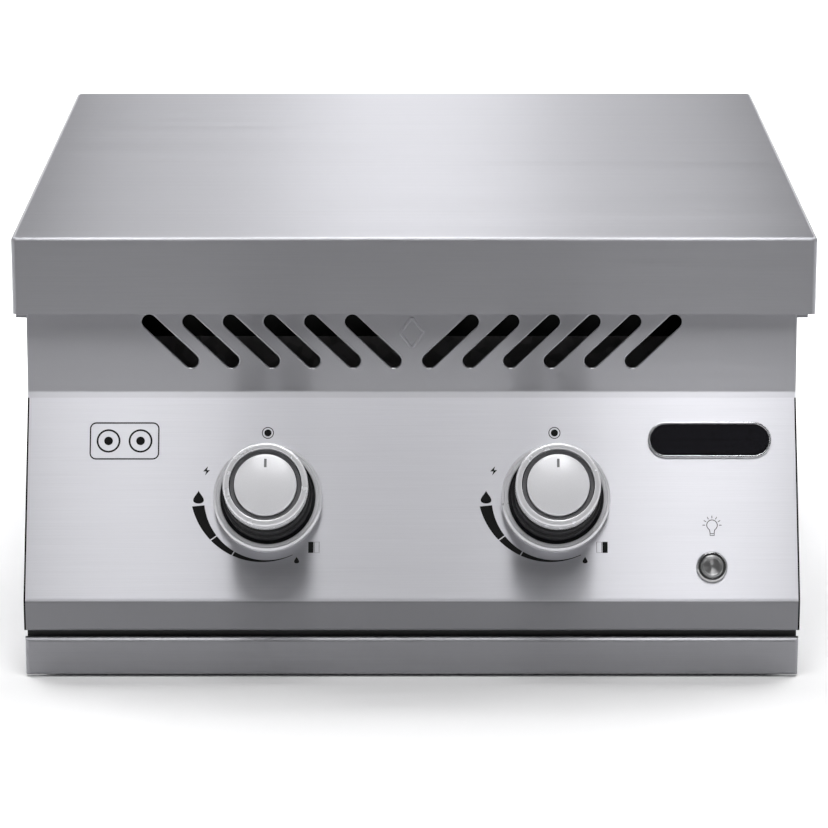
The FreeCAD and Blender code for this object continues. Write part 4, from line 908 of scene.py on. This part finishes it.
# Light button: a polished push switch with a bevelled head and a lathe-spun button, held by a nut behind
# the panel.
button_place = np.array([178.8, -43.3]) * mm
switch_profile = rounded(
    np.array([(0, -16), (7.9, -16), (7.9, 0), (9.25, 0), (9.25, 1.1), (8.3, 2.2), (6.75, 2.2), (6.75, -8.5),
              (0, -8.5)]) * mm,
    np.array([0, 0.5, 0, 0, 0.35, 0.3, 0.2, 0, 0]) * mm)
button_profile = rounded(
    np.array([(0, -5), (6.5, -5), (6.5, 3.2), (5.3, 3.2), (5.1, 3.0), (0, 2.85)]) * mm,
    np.array([0, 0, 0.5, 0.15, 0.2, 0]) * mm)
switch_steel = spun("switch_steel", 0.62, 0.16, 0.3, 0.0005 * mm)
button_spun = spun("button_spun", 0.62, 0.28, 0.8, 0.002 * mm)
housing = turned("switch_head", switch_profile, button_place, switch_steel, "body")
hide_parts("switch_housing")
button = turned("spun_button", button_profile, button_place, button_spun, "light_button")
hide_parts("switch_button")


# Return springs: drawn steel wire wound in an open coil, one round each valve's stem and one under the light
# button. Each stands on its inner end.
wire_sides = 10
steps_per_turn = 24
valve_ends, valve_size = (-21.9 * mm, -11.1 * mm), (4.6 * mm, 0.5 * mm, 5)
switch_ends, switch_size = (-8.45 * mm, -5.05 * mm), (4.0 * mm, 0.35 * mm, 3)


def spring(node, place, ends, size):
    """Wire of a round section along a helix: each point is (r + w cos b) along the ray at angle a, at height
    h + w sin b, where h rises evenly with a from end to end. The size is r, w and the number of turns."""
    low, high = ends
    radius, wire, turns = size
    steps = steps_per_turn * turns + 1
    angle = np.linspace(0, 2 * math.pi * turns, steps)[:, None, None]
    height = np.linspace(low + wire, high - wire, steps)[:, None, None]
    round_wire = np.arange(wire_sides)[None, :, None] * (2 * math.pi / wire_sides)
    reach = radius + wire * np.cos(round_wire)
    coil = np.concatenate([place[0] + reach * np.cos(angle), place[1] + reach * np.sin(angle),
                           height + wire * np.sin(round_wire)], -1)
    count = steps * wire_sides
    lids = [list(range(wire_sides)), list(range(count - wire_sides, count))]
    wound = piece(node + "_wire", wire_steel, "body", on_slope(coil),
                  grid_faces(steps, wire_sides) + lids)
    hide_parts(node)
    foot = on_slope(np.array([*place, low]))
    outward = on_slope(np.array([*place, low + 1])) - foot
    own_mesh(wound)


for hand, place in knob_places.items():
    spring(hand + "_valve_spring", place, valve_ends, valve_size)
spring("switch_spring", button_place, switch_ends, switch_size)


# Screws and the switch's nut: zinc-plated steel with a clear passivated finish.
plated, tree, shader = finish("plated_steel", Metallic=1.0)
passivated = noise(tree, 2 * mm)
link(tree, shader, Base_Color=mottled(tree, passivated, (0.56, 0.57, 0.60, 1), (0.64, 0.63, 0.62, 1)))
link(tree, shader, Roughness=ranged(tree, passivated, 0.24, 0.36))
dress(plated, "fixing_screws", "switch_nut")


# Cover: one stainless sheet folded down on all four sides, brushed from side to side, that stands on four
# silicone bumpers.
cover_steel, tree, shader = brushed("cover_steel", 0.42, 0.33, 1.0)
dress(cover_steel, "cover_shell")

silicone, tree, shader = finish("bumper_silicone", Roughness=0.6)
dusty = noise(tree, 1.5 * mm)
link(tree, shader, Base_Color=mottled(tree, dusty, grey(0.05), grey(0.075)))
relief(tree, shader, dusty, 0.02 * mm)
dress(silicone, "cover_bumpers")


# The picture's tones are shown as they are.
bpy.context.scene.view_settings.view_transform = "Standard"
